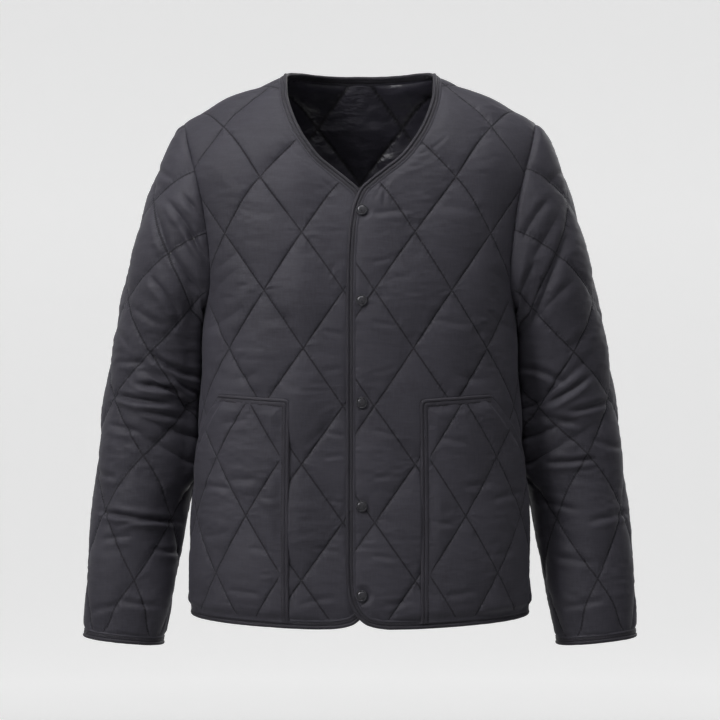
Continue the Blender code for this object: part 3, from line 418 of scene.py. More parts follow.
def coons(bottom, top, left, right):
    """Grid between four lines of stations: rows run from bottom to top."""
    nu, nv = len(bottom), len(left)
    u = np.linspace(0, 1, nu)[None, :, None]
    v = np.linspace(0, 1, nv)[:, None, None]
    ruled = (1 - v) * bottom[None] + v * top[None] + (1 - u) * left[:, None] + u * right[:, None]
    corners = (
        (1 - u) * (1 - v) * bottom[0]
        + u * (1 - v) * bottom[-1]
        + (1 - u) * v * top[0]
        + u * v * top[-1]
    )
    return ruled - corners


class Frames:
    """Stations along a bound edge: inner rim, unit direction out to the edge, normal, stretch."""

    def __init__(self, edge, normals, behind, lift=None):
        rim = edge + normals * BIND_W
        outer, inner = body_point(*edge.T, behind), body_point(*rim.T, behind)
        n = body_normal(*(edge + normals * BIND_W / 2).T, behind)
        if lift is not None:
            shift = lift(inner[:, 0])[:, None] * n
            outer, inner = outer + shift, inner + shift
        out = outer - inner
        size = np.linalg.norm(out, axis=1)
        self.inner, self.out, self.stretch = inner, out / size[:, None], size / BIND_W
        n = n - (n * self.out).sum(axis=1, keepdims=True) * self.out
        self.normal = n / np.linalg.norm(n, axis=1, keepdims=True)

    def at(self, distance):
        return self.inner + self.out * (distance * self.stretch)[:, None]


IN_SEAM = np.array([1, 0, 1])  # side and shoulder seams lie in this plane, so their normals do


def level(vectors):
    flat_ones = vectors * IN_SEAM
    return flat_ones / np.linalg.norm(flat_ones, axis=-1, keepdims=True)


# ------------------------------------------------------------------ sleeves
def armhole_point(turn):
    """Armhole ring: 0 is the shoulder point, 90 the front, 180 the armpit, 270 the back."""
    turn = np.asarray(turn, float)
    front = turn <= 180
    fold = np.where(front, turn, 360 - turn)
    pts = np.where(front[:, None], armhole_at(fold, False), armhole_at(fold, True))
    return np.where(front[:, None], body_point(*pts.T, False), body_point(*pts.T, True))


def sleeve_plain(t, turn):
    """The sleeve's point at share t and turn, before it is pushed off the body."""
    ox, oz, ix, iz, y, depth = hermite(SLEEVE, t)
    c, s = np.cos(np.radians(turn)), np.sin(np.radians(turn))
    power = 2 / 2.15
    c, s = np.sign(c) * np.abs(c) ** power, np.sign(s) * np.abs(s) ** power
    x = (ox + ix) / 2 + (ox - ix) / 2 * c
    z = (oz + iz) / 2 + (oz - iz) / 2 * c
    return np.stack([x, y - depth * s, z], axis=-1)


def body_side(y, z):
    """Half width of the body form at y and z."""
    half, front, back, seam_y = hermite(BODY, z)
    depth = np.where(y < seam_y, front, back)
    share = np.clip(np.abs(y - seam_y) / depth, 0, 1)
    return half * (1 - share**ROUND) ** (1 / ROUND)


RING = np.arange(0, 360, 5.0)
RING_POINTS = None


def sleeve_point(t, turn):
    t, turn = np.broadcast_arrays(np.asarray(t, float), np.asarray(turn, float))
    shape = t.shape
    t, turn = t.ravel(), np.mod(turn.ravel(), 360)
    p = sleeve_plain(t, turn)
    rest = armhole_point(turn) - sleeve_plain(np.zeros_like(t), turn)
    p = p + (1 - smooth(t / 0.34))[:, None] * rest
    for at, around, length, width, depth, slant in SLEEVE_FOLDS:
        away = (turn - around + 180) % 360 - 180
        near = np.exp(-((t - at - slant * away / 60) / width) ** 2)
        p[:, 0] -= depth * near * np.exp(-((away / length) ** 2)) * np.cos(np.radians(turn))
        p[:, 1] += depth * near * np.exp(-((away / length) ** 2)) * np.sin(np.radians(turn))
    ring = armhole_point(RING)
    far = np.min(np.linalg.norm(p[:, None] - ring[None], axis=2), axis=1)
    clear = SLEEVE_CLEAR * smooth(far / 0.022)
    least = body_side(p[:, 1], p[:, 2]) + clear
    soft = 0.004 * smooth(far / 0.03) + 1e-5
    over = least - p[:, 0]
    below = smooth((-0.235 - p[:, 2]) / 0.05)
    p[:, 0] += below * soft * np.logaddexp(0, over / soft)
    return p.reshape(*shape, 3)


def sleeve_normal(t, turn):
    e = 0.004
    low, high = np.clip(t - e, 0, 1), np.clip(t + e, 0, 1)
    along = sleeve_point(high, turn) - sleeve_point(low, turn)
    around = sleeve_point(t, turn + 2.0) - sleeve_point(t, turn - 2.0)
    n = np.cross(around, along)
    return n / np.linalg.norm(n, axis=-1, keepdims=True)


def mitre(n1, n2):
    m = n1 + n2
    m /= np.linalg.norm(m, axis=-1, keepdims=True)
    return m / np.clip((m * n1).sum(axis=-1, keepdims=True), 0.75, 1)


def armhole_frame(turn):
    """Armhole stations with the mitre shared by body and sleeve."""
    ring = armhole_point(turn)
    front = turn <= 180
    fold = np.where(front, turn, 360 - turn)
    pts = np.where(front[:, None], armhole_at(fold, False), armhole_at(fold, True))
    n_body = np.where(
        front[:, None], body_normal(*pts.T, False), body_normal(*pts.T, True)
    )
    n_sleeve = sleeve_normal(np.full(len(turn), 0.012), turn)
    return ring, mitre(n_body, n_sleeve)


def cloth_surface(a, q, on_top, lift):
    p = body_point(a, q, False)
    n = body_normal(a, q, False)
    return p + (lap(p[..., 0], on_top) + lift)[..., None] * n, n


# inner edge x of each pocket, and how far out its top corner stands from there
POCKET_INNER = {1: 0.0694, -1: 0.0812}
POCKET_REACH = 0.0827
POCKET_TOP_IN, POCKET_TOP_OUT = -0.3960, -0.3905
POCKET_SIDE_Z = -0.4950
POCKET_ROUND = 8.0 * MM


def pocket_lines(side):
    """Corners of a pocket in the cutting plane."""
    x0 = POCKET_INNER[side]
    lower = flat(x0, -0.6450)
    upper = flat(x0, POCKET_TOP_IN)
    outer = flat(x0 + POCKET_REACH, POCKET_TOP_OUT)
    mouth = np.array([float(girth(POCKET_SIDE_Z)) - 2 * MM, POCKET_SIDE_Z])
    return lower, upper, outer, mouth


def pocket_path(side):
    """Outer edge and inner rim of the band, from the mouth's top corner round and down."""
    lower, upper, outer, mouth = pocket_lines(side)
    low_q = float(hem_q(lower[0])) + BIND_W + 1.6 * MM
    along = (outer - upper) / np.linalg.norm(outer - upper)
    down = np.array([0.0, -1.0])
    under = np.array([along[1], -along[0]])  # square to the top line, downwards
    corner = upper + down * BAND_W / -under[1] + along * BAND_W / along[0]
    corner[0] = upper[0] + BAND_W
    corner[1] = (upper + under * BAND_W)[1] + along[1] / along[0] * (corner[0] - (upper + under * BAND_W)[0])
    r = POCKET_ROUND
    path = [upper + along * r, upper + along * r * 0.30 + down * r * 0.06]
    path += [upper + along * r * 0.06 + down * r * 0.30, upper + down * r]
    rim = [corner + along * k + down * m for k, m in ((1.2 * MM, 0), (0.4 * MM, 0.1 * MM))]
    rim += [corner + along * k + down * m for k, m in ((0.1 * MM, 0.4 * MM), (0, 1.2 * MM))]
    slant = (mouth - outer) / np.linalg.norm(mouth - outer)
    top_end = outer + slant * BAND_W / (slant @ under)
    top = np.linspace(outer, path[0], 5)[:-1]
    top_rim = np.linspace(top_end, rim[0], 5)[:-1]
    side_q = np.linspace(path[-1][1], low_q, 7)[1:]
    rim_q = np.linspace(rim[-1][1], low_q, 7)[1:]
    side_line = np.column_stack([np.full(6, upper[0]), side_q])
    side_rim = np.column_stack([np.full(6, corner[0]), rim_q])
    return np.vstack([top, path, side_line]), np.vstack([top_rim, rim, side_rim]), corner, top_end


# ------------------------------------------------------------------ soft shapes
VIEW_D = 3.2  # distance of the photograph's camera from the middle of the jacket
PIX = 1.22 * MM  # one step of the picture at that distance
MID_Z = -0.350


def picture_place(points):
    """Where the points fall in the front view, in steps of the picture, right and down."""
    k = PIX * (VIEW_D + points[..., 1]) / VIEW_D
    return 360 + points[..., 0] / k, 360 - (points[..., 2] - MID_Z) / k


def back_place(points):
    """Where the points fall on an elevation of the back, in mm, from +X to -X and down."""
    return -points[..., 0] / MM, -points[..., 2] / MM


def hashed(i, j, seed):
    n = (i.astype(np.int64) * 73856093) ^ (j.astype(np.int64) * 19349663) ^ (seed * 83492791)
    n = n & 0xFFFFFFFF
    n = ((n ^ (n >> 13)) * 1274126177) & 0xFFFFFFFF
    n = n ^ (n >> 16)
    return (n & 0xFFFFFF) / float(0xFFFFFF) * 2 - 1


def noise(x, y, seed):
    """Smooth noise from -1 to 1 with one bump to a unit."""
    x, y = np.broadcast_arrays(np.asarray(x, float), np.asarray(y, float))
    i, j = np.floor(x), np.floor(y)
    u, v = x - i, y - j
    u, v = u * u * (3 - 2 * u), v * v * (3 - 2 * v)
    i, j = i.astype(np.int64), j.astype(np.int64)
    low = hashed(i, j, seed) * (1 - u) + hashed(i + 1, j, seed) * u
    high = hashed(i, j + 1, seed) * (1 - u) + hashed(i + 1, j + 1, seed) * u
    return low * (1 - v) + high * v


def layered(x, y, seed):
    return noise(x, y, seed) + 0.5 * noise(2.1 * x + 7, 2.1 * y + 3, seed + 1)


def crease(px, py, row, unit):
    """One soft trough between two points, with the cloth raised along its sides.

    row: x0, y0, x1, y1, half width in mm, depth in mm, bow in mm, share of the raised side."""
    x0, y0, x1, y1, width, depth, bow, side = row
    dx, dy = x1 - x0, y1 - y0
    size = math.hypot(dx, dy)
    run = ((px - x0) * dx + (py - y0) * dy) / size**2
    off = ((px - x0) * -dy + (py - y0) * dx) / size * unit
    inside = np.clip(run, 0, 1)
    off = off - bow * 4 * inside * (1 - inside)
    ends = smooth((run + 0.12) / 0.38) * smooth((1.12 - run) / 0.38)
    trough = -0.6 * np.exp(-((off / width) ** 2)) - 0.4 * np.exp(-np.abs(off) / (0.45 * width))
    flank = np.exp(-(((np.abs(off) - 2.1 * width) / (1.2 * width)) ** 2))
    return depth * ends * (trough + side * flank * (1 + 0.35 * np.sign(off)))


def creases(px, py, rows, unit):
    total = np.zeros_like(px)
    for row in rows:
        total += crease(px, py, row, unit)
    return total


# ------------------------------------------------------------------ quilting
LINE_GAP = 78.0  # mm between neighbouring lines of one family, square to them
LINE_RUN = 84.0  # mm along a line between two lines of the other family


def rise(m):
    """Height over the distance from a stitched line: a quick lip, a full flank, then a soft crown."""
    return 0.20 * (1 - np.exp(-m / 1.5)) + 0.52 * (1 - np.exp(-m / 8.0)) + 0.28 * smooth(m / 36)


def quilt_height(u, v, on_u, on_v, crown, seed, pucker=1.0):
    """Height of the puffs over the stitched lines, with the puckers the stitches draw in."""
    nu, nv = np.round(u), np.round(v)
    su, sv = (u - nu) * LINE_GAP, (v - nv) * LINE_GAP
    mu, mv = np.abs(su), np.abs(sv)
    mu, mv = np.where(on_u, 0, mu), np.where(on_v, 0, mv)
    body = rise(mu) * rise(mv)
    # each diamond is filled a little differently
    fill = 1 + 0.16 * hashed(np.floor(u).astype(np.int64), np.floor(v).astype(np.int64), seed + 40)
    out = crown * body * fill
    for m, s, along, line, k in ((mu, su, v, nu, 1), (mv, sv, u, nv, 2)):
        # small pleats square to the stitching, uneven in pitch, length and depth
        at = along * LINE_RUN
        where = 0.6 + 0.4 * noise(at / 31 + 9 * line, line * 3.7, seed + k)
        fine = noise(at / 4.3 + 0.05 * s, line * 5.3 + s / 16, seed + 10 + k)
        long_ones = noise(at / 10.5 - 0.03 * s, line * 2.1 + s / 30, seed + 20 + k)
        near = smooth(m / 1.6)
        out += pucker * where * near * (
            0.75 * fine * np.exp(-m / 5.5) + 0.85 * long_ones * np.exp(-m / 13.0)
        )
    # and short creases that run out from where two lines cross
    du, dv = u - nu, v - nv
    dx, dy = (du + dv) * 48.0, (du - dv) * 68.3
    r = np.hypot(dx, dy) + 1e-6
    kind = 5.3 * hashed(nu.astype(np.int64), nv.astype(np.int64), seed + 50)
    spokes = noise(3.4 * dx / r + kind, 3.4 * dy / r + r / 22, seed + 51)
    near = np.where(on_u | on_v, 0, smooth(np.minimum(mu, mv) / 2.0))
    out += pucker * 0.85 * spokes * near * smooth(r / 5) * np.exp(-r / 13.0)
    return out


def slide_to_lines(grid, lattice, fixed=None):
    """Moves grid points, by less than half a cell, onto the quilting lines they lie next to.

    Returns the grid and, for each family of lines, which points now lie on one."""
    grid = grid.copy()
    marks = []
    for family in (0, 1):
        w = lattice(grid)[family]
        best = np.full(w.shape, np.inf)
        move = np.zeros_like(grid)
        for axis in (0, 1):
            low = [slice(None), slice(None)]
            high = [slice(None), slice(None)]
            low[axis], high[axis] = slice(None, -1), slice(1, None)
            low, high = tuple(low), tuple(high)
            w0, w1 = w[low], w[high]
            n = np.floor(np.maximum(w0, w1))
            step = w1 - w0
            ok = (n >= np.minimum(w0, w1)) & (np.abs(step) < 0.5) & (np.abs(step) > 1e-9)
            f = np.where(ok, (n - w0) / np.where(ok, step, 1), 9)
            cell = grid[high] - grid[low]
            for part, share, take in ((low, f, f < 0.5), (high, f - 1, (f >= 0.5) & (f <= 1))):
                shift = cell * share[..., None]
                far = np.where(take & ok, np.linalg.norm(shift, axis=-1), np.inf)
                view, at = best[part], move[part]
                closer = far < view
                view[closer] = far[closer]
                at[closer] = shift[closer]
        hit = np.isfinite(best)
        hit[[0, -1], :] = False
        hit[:, [0, -1]] = False
        if fixed is not None:
            hit &= ~fixed
        if marks:
            both = hit & marks[0]
            grid[hit & ~both] += move[hit & ~both]
        else:
            grid[hit] += move[hit]
        marks.append(hit)
    return grid, marks[0], marks[1]


def relax(grid, rounds=350):
    """Evens out a grid's cells, so that none folds over where its outline turns a corner."""
    grid = grid.copy()
    for _ in range(rounds):
        grid[1:-1, 1:-1] = 0.25 * (grid[:-2, 1:-1] + grid[2:, 1:-1] + grid[1:-1, :-2] + grid[1:-1, 2:])
    return grid


def split_cells(index, on_u, on_v):
    """Triangles of a grid of cells, each cut along the diagonal that a quilting line follows."""
    a, b, c, d = index[:-1, :-1], index[:-1, 1:], index[1:, 1:], index[1:, :-1]
    rows, cols = np.indices(a.shape)
    rising = (rows + cols) % 2 == 0
    for on in (on_u, on_v):
        up = on[:-1, :-1] & on[1:, 1:]
        down = on[:-1, 1:] & on[1:, :-1]
        rising = np.where(up & ~down, True, np.where(down & ~up, False, rising))
    first = np.where(rising[..., None], np.stack([a, b, c], -1), np.stack([a, b, d], -1))
    second = np.where(rising[..., None], np.stack([a, c, d], -1), np.stack([b, c, d], -1))
    return np.concatenate([first.reshape(-1, 3), second.reshape(-1, 3)])


def edge_distance(points):
    """Distance in mm along the rows and columns from each side: first and last column, row."""
    across = np.linalg.norm(np.diff(points, axis=1), axis=2) / MM
    up = np.linalg.norm(np.diff(points, axis=0), axis=2) / MM
    zero_c, zero_r = np.zeros((points.shape[0], 1)), np.zeros((1, points.shape[1]))
    run_c = np.hstack([zero_c, np.cumsum(across, axis=1)])
    run_r = np.vstack([zero_r, np.cumsum(up, axis=0)])
    return run_c, run_c[:, -1:] - run_c, run_r, run_r[-1:] - run_r


def line_distance(points, lines):
    """Distance in mm from each point to the nearest of some lines, and how far along it that is."""
    best = np.full(len(points), np.inf)
    place = np.zeros(len(points))
    for line in lines:
        tree = KDTree(len(line))
        for number, p in enumerate(line):
            tree.insert(p, number)
        tree.balance()
        near = np.array([tree.find(p)[1] for p in points])
        run = np.concatenate([[0], np.cumsum(np.linalg.norm(np.diff(line, axis=0), axis=1))])
        for back in (1, 0):
            k = np.clip(near - back, 0, len(line) - 2)
            step = line[k + 1] - line[k]
            size = np.maximum(np.einsum("ij,ij->i", step, step), 1e-14)
            f = np.clip(np.einsum("ij,ij->i", points - line[k], step) / size, 0, 1)
            gap = np.linalg.norm(points - line[k] - f[:, None] * step, axis=1)
            closer = gap < best
            best[closer] = gap[closer]
            place[closer] = (run[k] + f * np.sqrt(size))[closer]
    return best / MM, place / MM


def settle(points):
    """Draws the body's sides in a little below the waist, where the cloth hangs closer."""
    x, z = points[:, 0], points[:, 2]
    pull = 4.0 * smooth((-0.40 - z) / 0.11) * (1 - 0.45 * smooth((-0.632 - z) / 0.02))
    points = points.copy()
    points[:, 0] = x - np.sign(x) * pull * MM * smooth((np.abs(x) - 0.12) / 0.085)
    return points


# ------------------------------------------------------------------ meshes
def make_object(name, points, tris, mats, slots=None, attribute=None, sharp=None):
    mesh = bpy.data.meshes.new(name)
    tris = np.asarray(tris, np.int32)
    if not name.startswith(("quilted_sleeve", "edge_tape_cuff", "snap")):
        points = settle(points)
    mesh.vertices.add(len(points))
    mesh.vertices.foreach_set("co", np.asarray(points, np.float32).ravel())
    mesh.loops.add(tris.size)
    mesh.loops.foreach_set("vertex_index", tris.ravel())
    mesh.polygons.add(len(tris))
    mesh.polygons.foreach_set("loop_start", np.arange(0, tris.size, 3, dtype=np.int32))
    for mat in mats:
        mesh.materials.append(mat)
    if slots is not None:
        mesh.polygons.foreach_set("material_index", np.asarray(slots, np.int32))
    mesh.update(calc_edges=True)
    mesh.validate()
    mesh.shade_smooth()
    if sharp is not None:
        mesh.set_sharp_from_angle(angle=math.radians(sharp))
    if attribute is not None:
        layer = mesh.attributes.new("quilt", "FLOAT_VECTOR", "POINT")
        layer.data.foreach_set("vector", np.asarray(attribute, np.float32).ravel())
    obj = bpy.data.objects.new(name, mesh)
    bpy.context.scene.collection.objects.link(obj)
    return obj


def rim_loop(tris):
    """The one open rim of a sheet, as indices in the order of its triangles."""
    ends = np.concatenate([tris[:, [0, 1]], tris[:, [1, 2]], tris[:, [2, 0]]]).astype(np.int64)
    top = int(tris.max()) + 1
    there, back = ends[:, 0] * top + ends[:, 1], ends[:, 1] * top + ends[:, 0]
    open_ends = ends[~np.isin(there, back)]
    follow = dict(open_ends.tolist())
    start = int(open_ends[0, 0])
    loop = [start]
    while follow[loop[-1]] != start:
        loop.append(follow[loop[-1]])
    if len(loop) != len(open_ends):
        raise RuntimeError("a sheet has more than one rim")
    return np.array(loop)


def zip_rims(pa, ia, pb, ib):
    """Triangles between two rims that run alike: the outer sheet's and the inner one's."""
    first = int(np.argmin(np.linalg.norm(pb[ib] - pa[ia[0]], axis=1)))
    ib = np.roll(ib, -first)
    a, b = pa[ia], pb[ib]
    na, nb, i, j, tris = len(ia), len(ib), 0, 0, []
    while i < na or j < nb:
        if j >= nb:
            go = True
        elif i >= na:
            go = False
        else:
            go = np.sum((a[(i + 1) % na] - b[j % nb]) ** 2) <= np.sum((a[i % na] - b[(j + 1) % nb]) ** 2)
        if go:
            tris.append((ia[(i + 1) % na], ia[i % na], ib[j % nb], 0))
            i += 1
        else:
            tris.append((ib[j % nb], ib[(j + 1) % nb], ia[i % na], 1))
            j += 1
    return tris


def shell(name, outer, inner, side, mats):
    """Closed shell from two sheets, each (points, triangles, quilt): cloth out and lining in."""
    po, to, qo = outer
    pi, ti, qi = inner
    n = len(po)
    points = np.vstack([po, pi])
    rows = zip_rims(po, rim_loop(to), pi, rim_loop(ti))
    wall_tris = []
    for x, y, z, kind in rows:
        if kind == 0:
            wall_tris.append((x, y, z + n))
        else:
            wall_tris.append((x + n, y + n, z))
    wall_tris = np.array(wall_tris)
    tris = np.concatenate([to, ti[:, ::-1] + n, wall_tris])
    slots = np.concatenate([np.zeros(len(to)), np.ones(len(ti)), np.zeros(len(wall_tris))])
    if side < 0:
        points = points * np.array([-1, 1, 1])
        tris = tris[:, ::-1]
    quilt = np.vstack([qo, qi])
    return make_object(name, points, tris, mats, slots, quilt)


# ------------------------------------------------------------------ edges of a quilted piece
BOUND_STEPS = np.array([5.6, 8.1, 8.9, 9.7, 10.7, 11.8, 13.2, 15.0])  # mm in from the bound edge
HIDDEN = 5.6


def bound_profile(d):
    """Share of the puff's height, and height in mm, at a distance in from the bound edge."""
    inner = d - 8.5
    lip = 1.15 * np.exp(-(((inner - 0.9) / 0.8) ** 2))
    groove = smooth(inner / 1.2)
    share = groove * (1 - np.exp(-np.clip(inner - 2.4, 0, None) / 4.5))
    return share, lip


def seam_share(d):
    """Share of the puff's height at a distance from a plain seam."""
    return 0.30 * (1 - np.exp(-d / 0.9)) + 0.70 * (1 - np.exp(-d / 5.5))


def edge_puckers(d, along, seed, size=0.5):
    """Small pleats square to a stitched edge."""
    fine = noise(along / 3.6, d / 14, seed) + 0.6 * noise(along / 7.9, d / 22, seed + 1)
    return size * fine * smooth(d / 1.4) * np.exp(-d / 6.5)


# ------------------------------------------------------------------ listed folds
# x0, y0, x1, y1 in steps of the front view; half width, depth and bow in mm; raised side
FRONT_FOLDS = {
    -1: (
        (293, 152, 312, 163, 2.4, 0.45, 1.0, 0.35),
        (298, 160, 318, 170, 2.2, 0.35, 0.6, 0.35),
        (284, 136, 294, 152, 2.4, 0.35, -1.0, 0.4),
        (322, 180, 338, 192, 2.6, 0.5, 1.0, 0.4),
        (278, 118, 268, 128, 2.4, 0.4, 0.6, 0.4),
        (300, 146, 286, 150, 2.2, 0.4, 0.6, 0.4),
        (214, 270, 238, 252, 6.0, 1.5, 1.5, 0.35),
        (208, 300, 240, 268, 5.0, 1.2, -2.0, 0.35),
        (206, 330, 246, 306, 6.0, 1.1, 2.0, 0.4),
        (272, 420, 292, 474, 7.0, 0.9, 1.0, 0.3),
        (306, 446, 334, 416, 5.0, 0.8, 1.5, 0.35),
        (322, 330, 343, 334, 3.0, 0.6, 0.5, 0.4),
        (318, 372, 343, 369, 3.0, 0.6, -0.5, 0.4),
        (325, 432, 344, 436, 2.6, 0.7, 0.4, 0.4),
        (324, 458, 344, 455, 2.6, 0.6, -0.4, 0.4),
        (328, 500, 344, 503, 2.4, 0.6, 0.4, 0.4),
        (312, 548, 342, 552, 3.2, 0.7, 0.8, 0.4),
        (300, 604, 334, 598, 3.6, 0.8, -1.0, 0.4),
        (240, 208, 276, 214, 6.0, 0.6, 2.0, 0.3),
        (262, 322, 296, 318, 6.0, 0.7, -1.5, 0.3),
        (234, 380, 262, 371, 5.0, 0.8, 1.0, 0.35),
        (230, 160, 242, 190, 7.0, 0.7, 2.0, 0.3),
    ),
    1: (
        (374, 190, 366, 204, 2.6, 0.8, 0.6, 0.5),
        (394, 174, 372, 202, 3.2, 1.0, 2.0, 0.45),
        (372, 214, 402, 209, 3.6, 0.8, 1.0, 0.4),
        (420, 140, 433, 127, 2.2, 0.4, -0.8, 0.4),
        (430, 150, 446, 138, 2.4, 0.4, 1.0, 0.35),
        (412, 156, 428, 152, 2.2, 0.45, 0.6, 0.4),
        (404, 166, 420, 168, 2.2, 0.4, 0.6, 0.4),
        (386, 180, 384, 206, 2.6, 0.7, 1.0, 0.45),
        (448, 112, 460, 120, 2.4, 0.35, 0.6, 0.4),
        (516, 262, 494, 246, 6.0, 1.4, -1.5, 0.35),
        (519, 296, 488, 270, 5.5, 1.2, 2.0, 0.35),
        (520, 334, 486, 312, 6.0, 1.0, -2.0, 0.4),
        (372, 262, 392, 258, 3.0, 0.6, 0.6, 0.4),
        (371, 322, 396, 326, 3.0, 0.6, -0.6, 0.4),
        (372, 372, 394, 368, 3.0, 0.6, 0.6, 0.4),
        (372, 430, 398, 436, 3.0, 0.6, -0.6, 0.4),
        (372, 478, 392, 474, 3.0, 0.6, 0.6, 0.4),
        (372, 556, 396, 560, 3.0, 0.7, -0.6, 0.4),
        (384, 606, 412, 600, 3.6, 0.7, 1.0, 0.4),
        (430, 318, 470, 324, 6.0, 0.7, 1.5, 0.3),
        (440, 206, 478, 214, 6.0, 0.6, -1.5, 0.3),
        (452, 374, 482, 380, 5.0, 0.8, 1.0, 0.35),
    ),
}
POCKET_FOLDS = {
    -1: (
        (230, 480, 259, 477, 4.5, 1.1, 1.0, 0.4),
        (205, 486, 232, 489, 4.0, 1.2, -1.0, 0.4),
        (262, 498, 286, 496, 3.6, 0.8, 0.8, 0.4),
        (226, 424, 250, 418, 4.5, 0.8, 1.0, 0.35),
        (252, 548, 276, 552, 4.0, 0.7, -1.0, 0.35),
        (206, 536, 232, 530, 4.5, 0.8, 1.5, 0.35),
        (228, 590, 262, 594, 4.0, 0.8, -1.0, 0.4),
    ),
    1: (
        (462, 486, 492, 481, 4.5, 1.0, 1.0, 0.4),
        (492, 500, 520, 492, 4.0, 1.1, -1.0, 0.4),
        (428, 520, 452, 524, 3.8, 0.8, 0.8, 0.4),
        (438, 438, 466, 444, 4.5, 0.8, -1.0, 0.35),
        (484, 556, 514, 548, 4.5, 0.8, 1.5, 0.35),
        (440, 596, 474, 590, 4.0, 0.8, 1.0, 0.4),
    ),
}
SLEEVE_CREASES = {
    -1: (
        (118, 395, 170, 403, 3.4, 3.5, 1.5, 0.45),
        (139, 384, 180, 392, 3.2, 4.0, -1.6, 0.5),
        (121, 362, 146, 361, 3.4, 1.6, 1.0, 0.4),
        (150, 353, 192, 376, 3.8, 2.8, 2.5, 0.5),
        (166, 371, 192, 394, 3.2, 1.8, -1.5, 0.45),
        (142, 410, 180, 418, 3.6, 2.2, -1.4, 0.45),
        (112, 424, 140, 431, 3.6, 1.5, 1.0, 0.4),
        (104, 512, 176, 521, 3.2, 2.9, 1.6, 0.6),
        (120, 524, 150, 521, 2.6, 1.4, -0.8, 0.5),
        (104, 540, 132, 536, 3.6, 1.2, -1.0, 0.4),
        (150, 548, 178, 552, 3.4, 1.3, 1.0, 0.4),
        (184, 196, 207, 222, 3.2, 1.9, 1.0, 0.5),
        (170, 202, 198, 246, 3.6, 2.0, -2.0, 0.45),
        (158, 208, 174, 262, 4.4, 1.9, 2.5, 0.4),
        (189, 232, 209, 262, 3.2, 2.2, 1.0, 0.5),
        (152, 276, 180, 316, 4.0, 1.7, -1.5, 0.4),
        (174, 256, 206, 296, 3.8, 2.0, 2.0, 0.45),
        (134, 306, 164, 326, 4.2, 1.2, 1.0, 0.4),
        (120, 330, 132, 348, 3.8, 1.1, -1.0, 0.4),
        (96, 470, 118, 478, 3.8, 1.1, 1.0, 0.4),
        (120, 600, 160, 606, 3.4, 1.2, 1.0, 0.4),
        (92, 612, 118, 606, 3.4, 1.1, -1.0, 0.4),
        (160, 170, 176, 180, 4.2, 1.0, 1.0, 0.35),
    ),
    1: (
        (546, 404, 588, 376, 3.6, 2.4, 1.8, 0.5),
        (530, 366, 566, 384, 3.6, 1.8, -1.6, 0.45),
        (566, 411, 608, 401, 3.6, 1.9, 1.4, 0.45),
        (544, 416, 580, 425, 3.6, 1.7, -1.2, 0.4),
        (548, 462, 596, 458, 3.2, 2.0, 1.2, 0.55),
        (590, 438, 620, 449, 3.8, 1.1, 1.0, 0.4),
        (568, 226, 524, 340, 5.0, 2.0, -2.5, 0.3),
        (546, 200, 522, 240, 4.4, 1.2, 1.5, 0.4),
        (556, 214, 530, 262, 5.0, 1.0, -2.0, 0.35),
        (534, 262, 519, 300, 4.4, 1.4, 1.5, 0.4),
        (572, 280, 538, 318, 5.0, 1.0, 2.0, 0.3),
        (592, 326, 566, 348, 4.6, 0.9, -1.5, 0.35),
        (538, 498, 578, 509, 3.8, 1.2, 1.4, 0.4),
        (588, 522, 626, 513, 3.8, 1.3, -1.2, 0.4),
        (556, 555, 596, 563, 4.0, 1.1, 1.4, 0.4),
        (560, 607, 606, 599, 3.8, 1.1, 1.2, 0.4),
        (560, 172, 546, 186, 4.6, 0.8, 1.0, 0.35),
    ),
}
# the back's folds, in mm on its elevation: along from +X to -X, down from the neck
BACK_FOLDS = (
    (-176, 262, -92, 300, 8.0, 1.8, 5.0, 0.35),
    (-184, 306, -118, 330, 7.0, 1.6, -3.0, 0.35),
    (172, 250, 84, 292, 8.0, 1.7, -5.0, 0.35),
    (182, 300, 104, 322, 7.0, 1.5, 4.0, 0.35),
    (-60, 402, 70, 418, 9.0, 1.6, 6.0, 0.3),
    (-120, 452, -10, 440, 8.0, 1.2, -4.0, 0.3),
    (30, 470, 148, 456, 8.0, 1.3, 4.0, 0.3),
    (-40, 86, 46, 92, 8.0, 1.2, 4.0, 0.3),
    (-150, 96, -112, 160, 8.0, 1.2, -4.0, 0.3),
    (146, 104, 116, 166, 8.0, 1.1, 3.0, 0.3),
    (-150, 560, -70, 548, 7.0, 1.0, 3.0, 0.3),
    (60, 590, 150, 600, 7.0, 1.0, -3.0, 0.3),
    (-24, 300, 26, 372, 9.0, 0.9, 4.0, 0.25),
)
# the sleeves' backs, in the same elevation, given for the +X sleeve and mirrored for the other
SLEEVE_BACK_FOLDS = (
    (-304, 398, -222, 376, 5.0, 2.0, 3.0, 0.45),
    (-300, 432, -214, 424, 5.0, 2.4, -3.0, 0.45),
    (-306, 356, -240, 342, 5.0, 1.4, 2.0, 0.4),
    (-310, 468, -244, 474, 4.6, 1.4, 2.0, 0.4),
    (-226, 168, -206, 214, 5.0, 1.6, 2.0, 0.4),
    (-262, 150, -222, 232, 5.5, 1.3, -3.0, 0.4),
    (-316, 560, -252, 568, 4.6, 1.1, 2.0, 0.4),
    (-322, 634, -262, 626, 4.6, 0.9, -2.0, 0.4),
    (-286, 240, -250, 290, 5.5, 1.0, 2.0, 0.4),
)


def placed_folds(points, normal, side, front_rows, back_rows):
    """Height of the listed folds, each only on the side of the piece that it faces."""
    real = points * np.array([side, 1, 1])
    px, py = picture_place(real)
    ahead = smooth(-normal[..., 1] * 3.0)
    out = ahead * creases(px, py, front_rows, PIX / MM) if len(front_rows) else 0.0
    if len(back_rows):
        bx, by = back_place(points if len(back_rows) == len(SLEEVE_BACK_FOLDS) else real)
        out = out + 0.8 * smooth(normal[..., 1] * 3.0) * creases(bx, by, back_rows, 1.0)
    return out


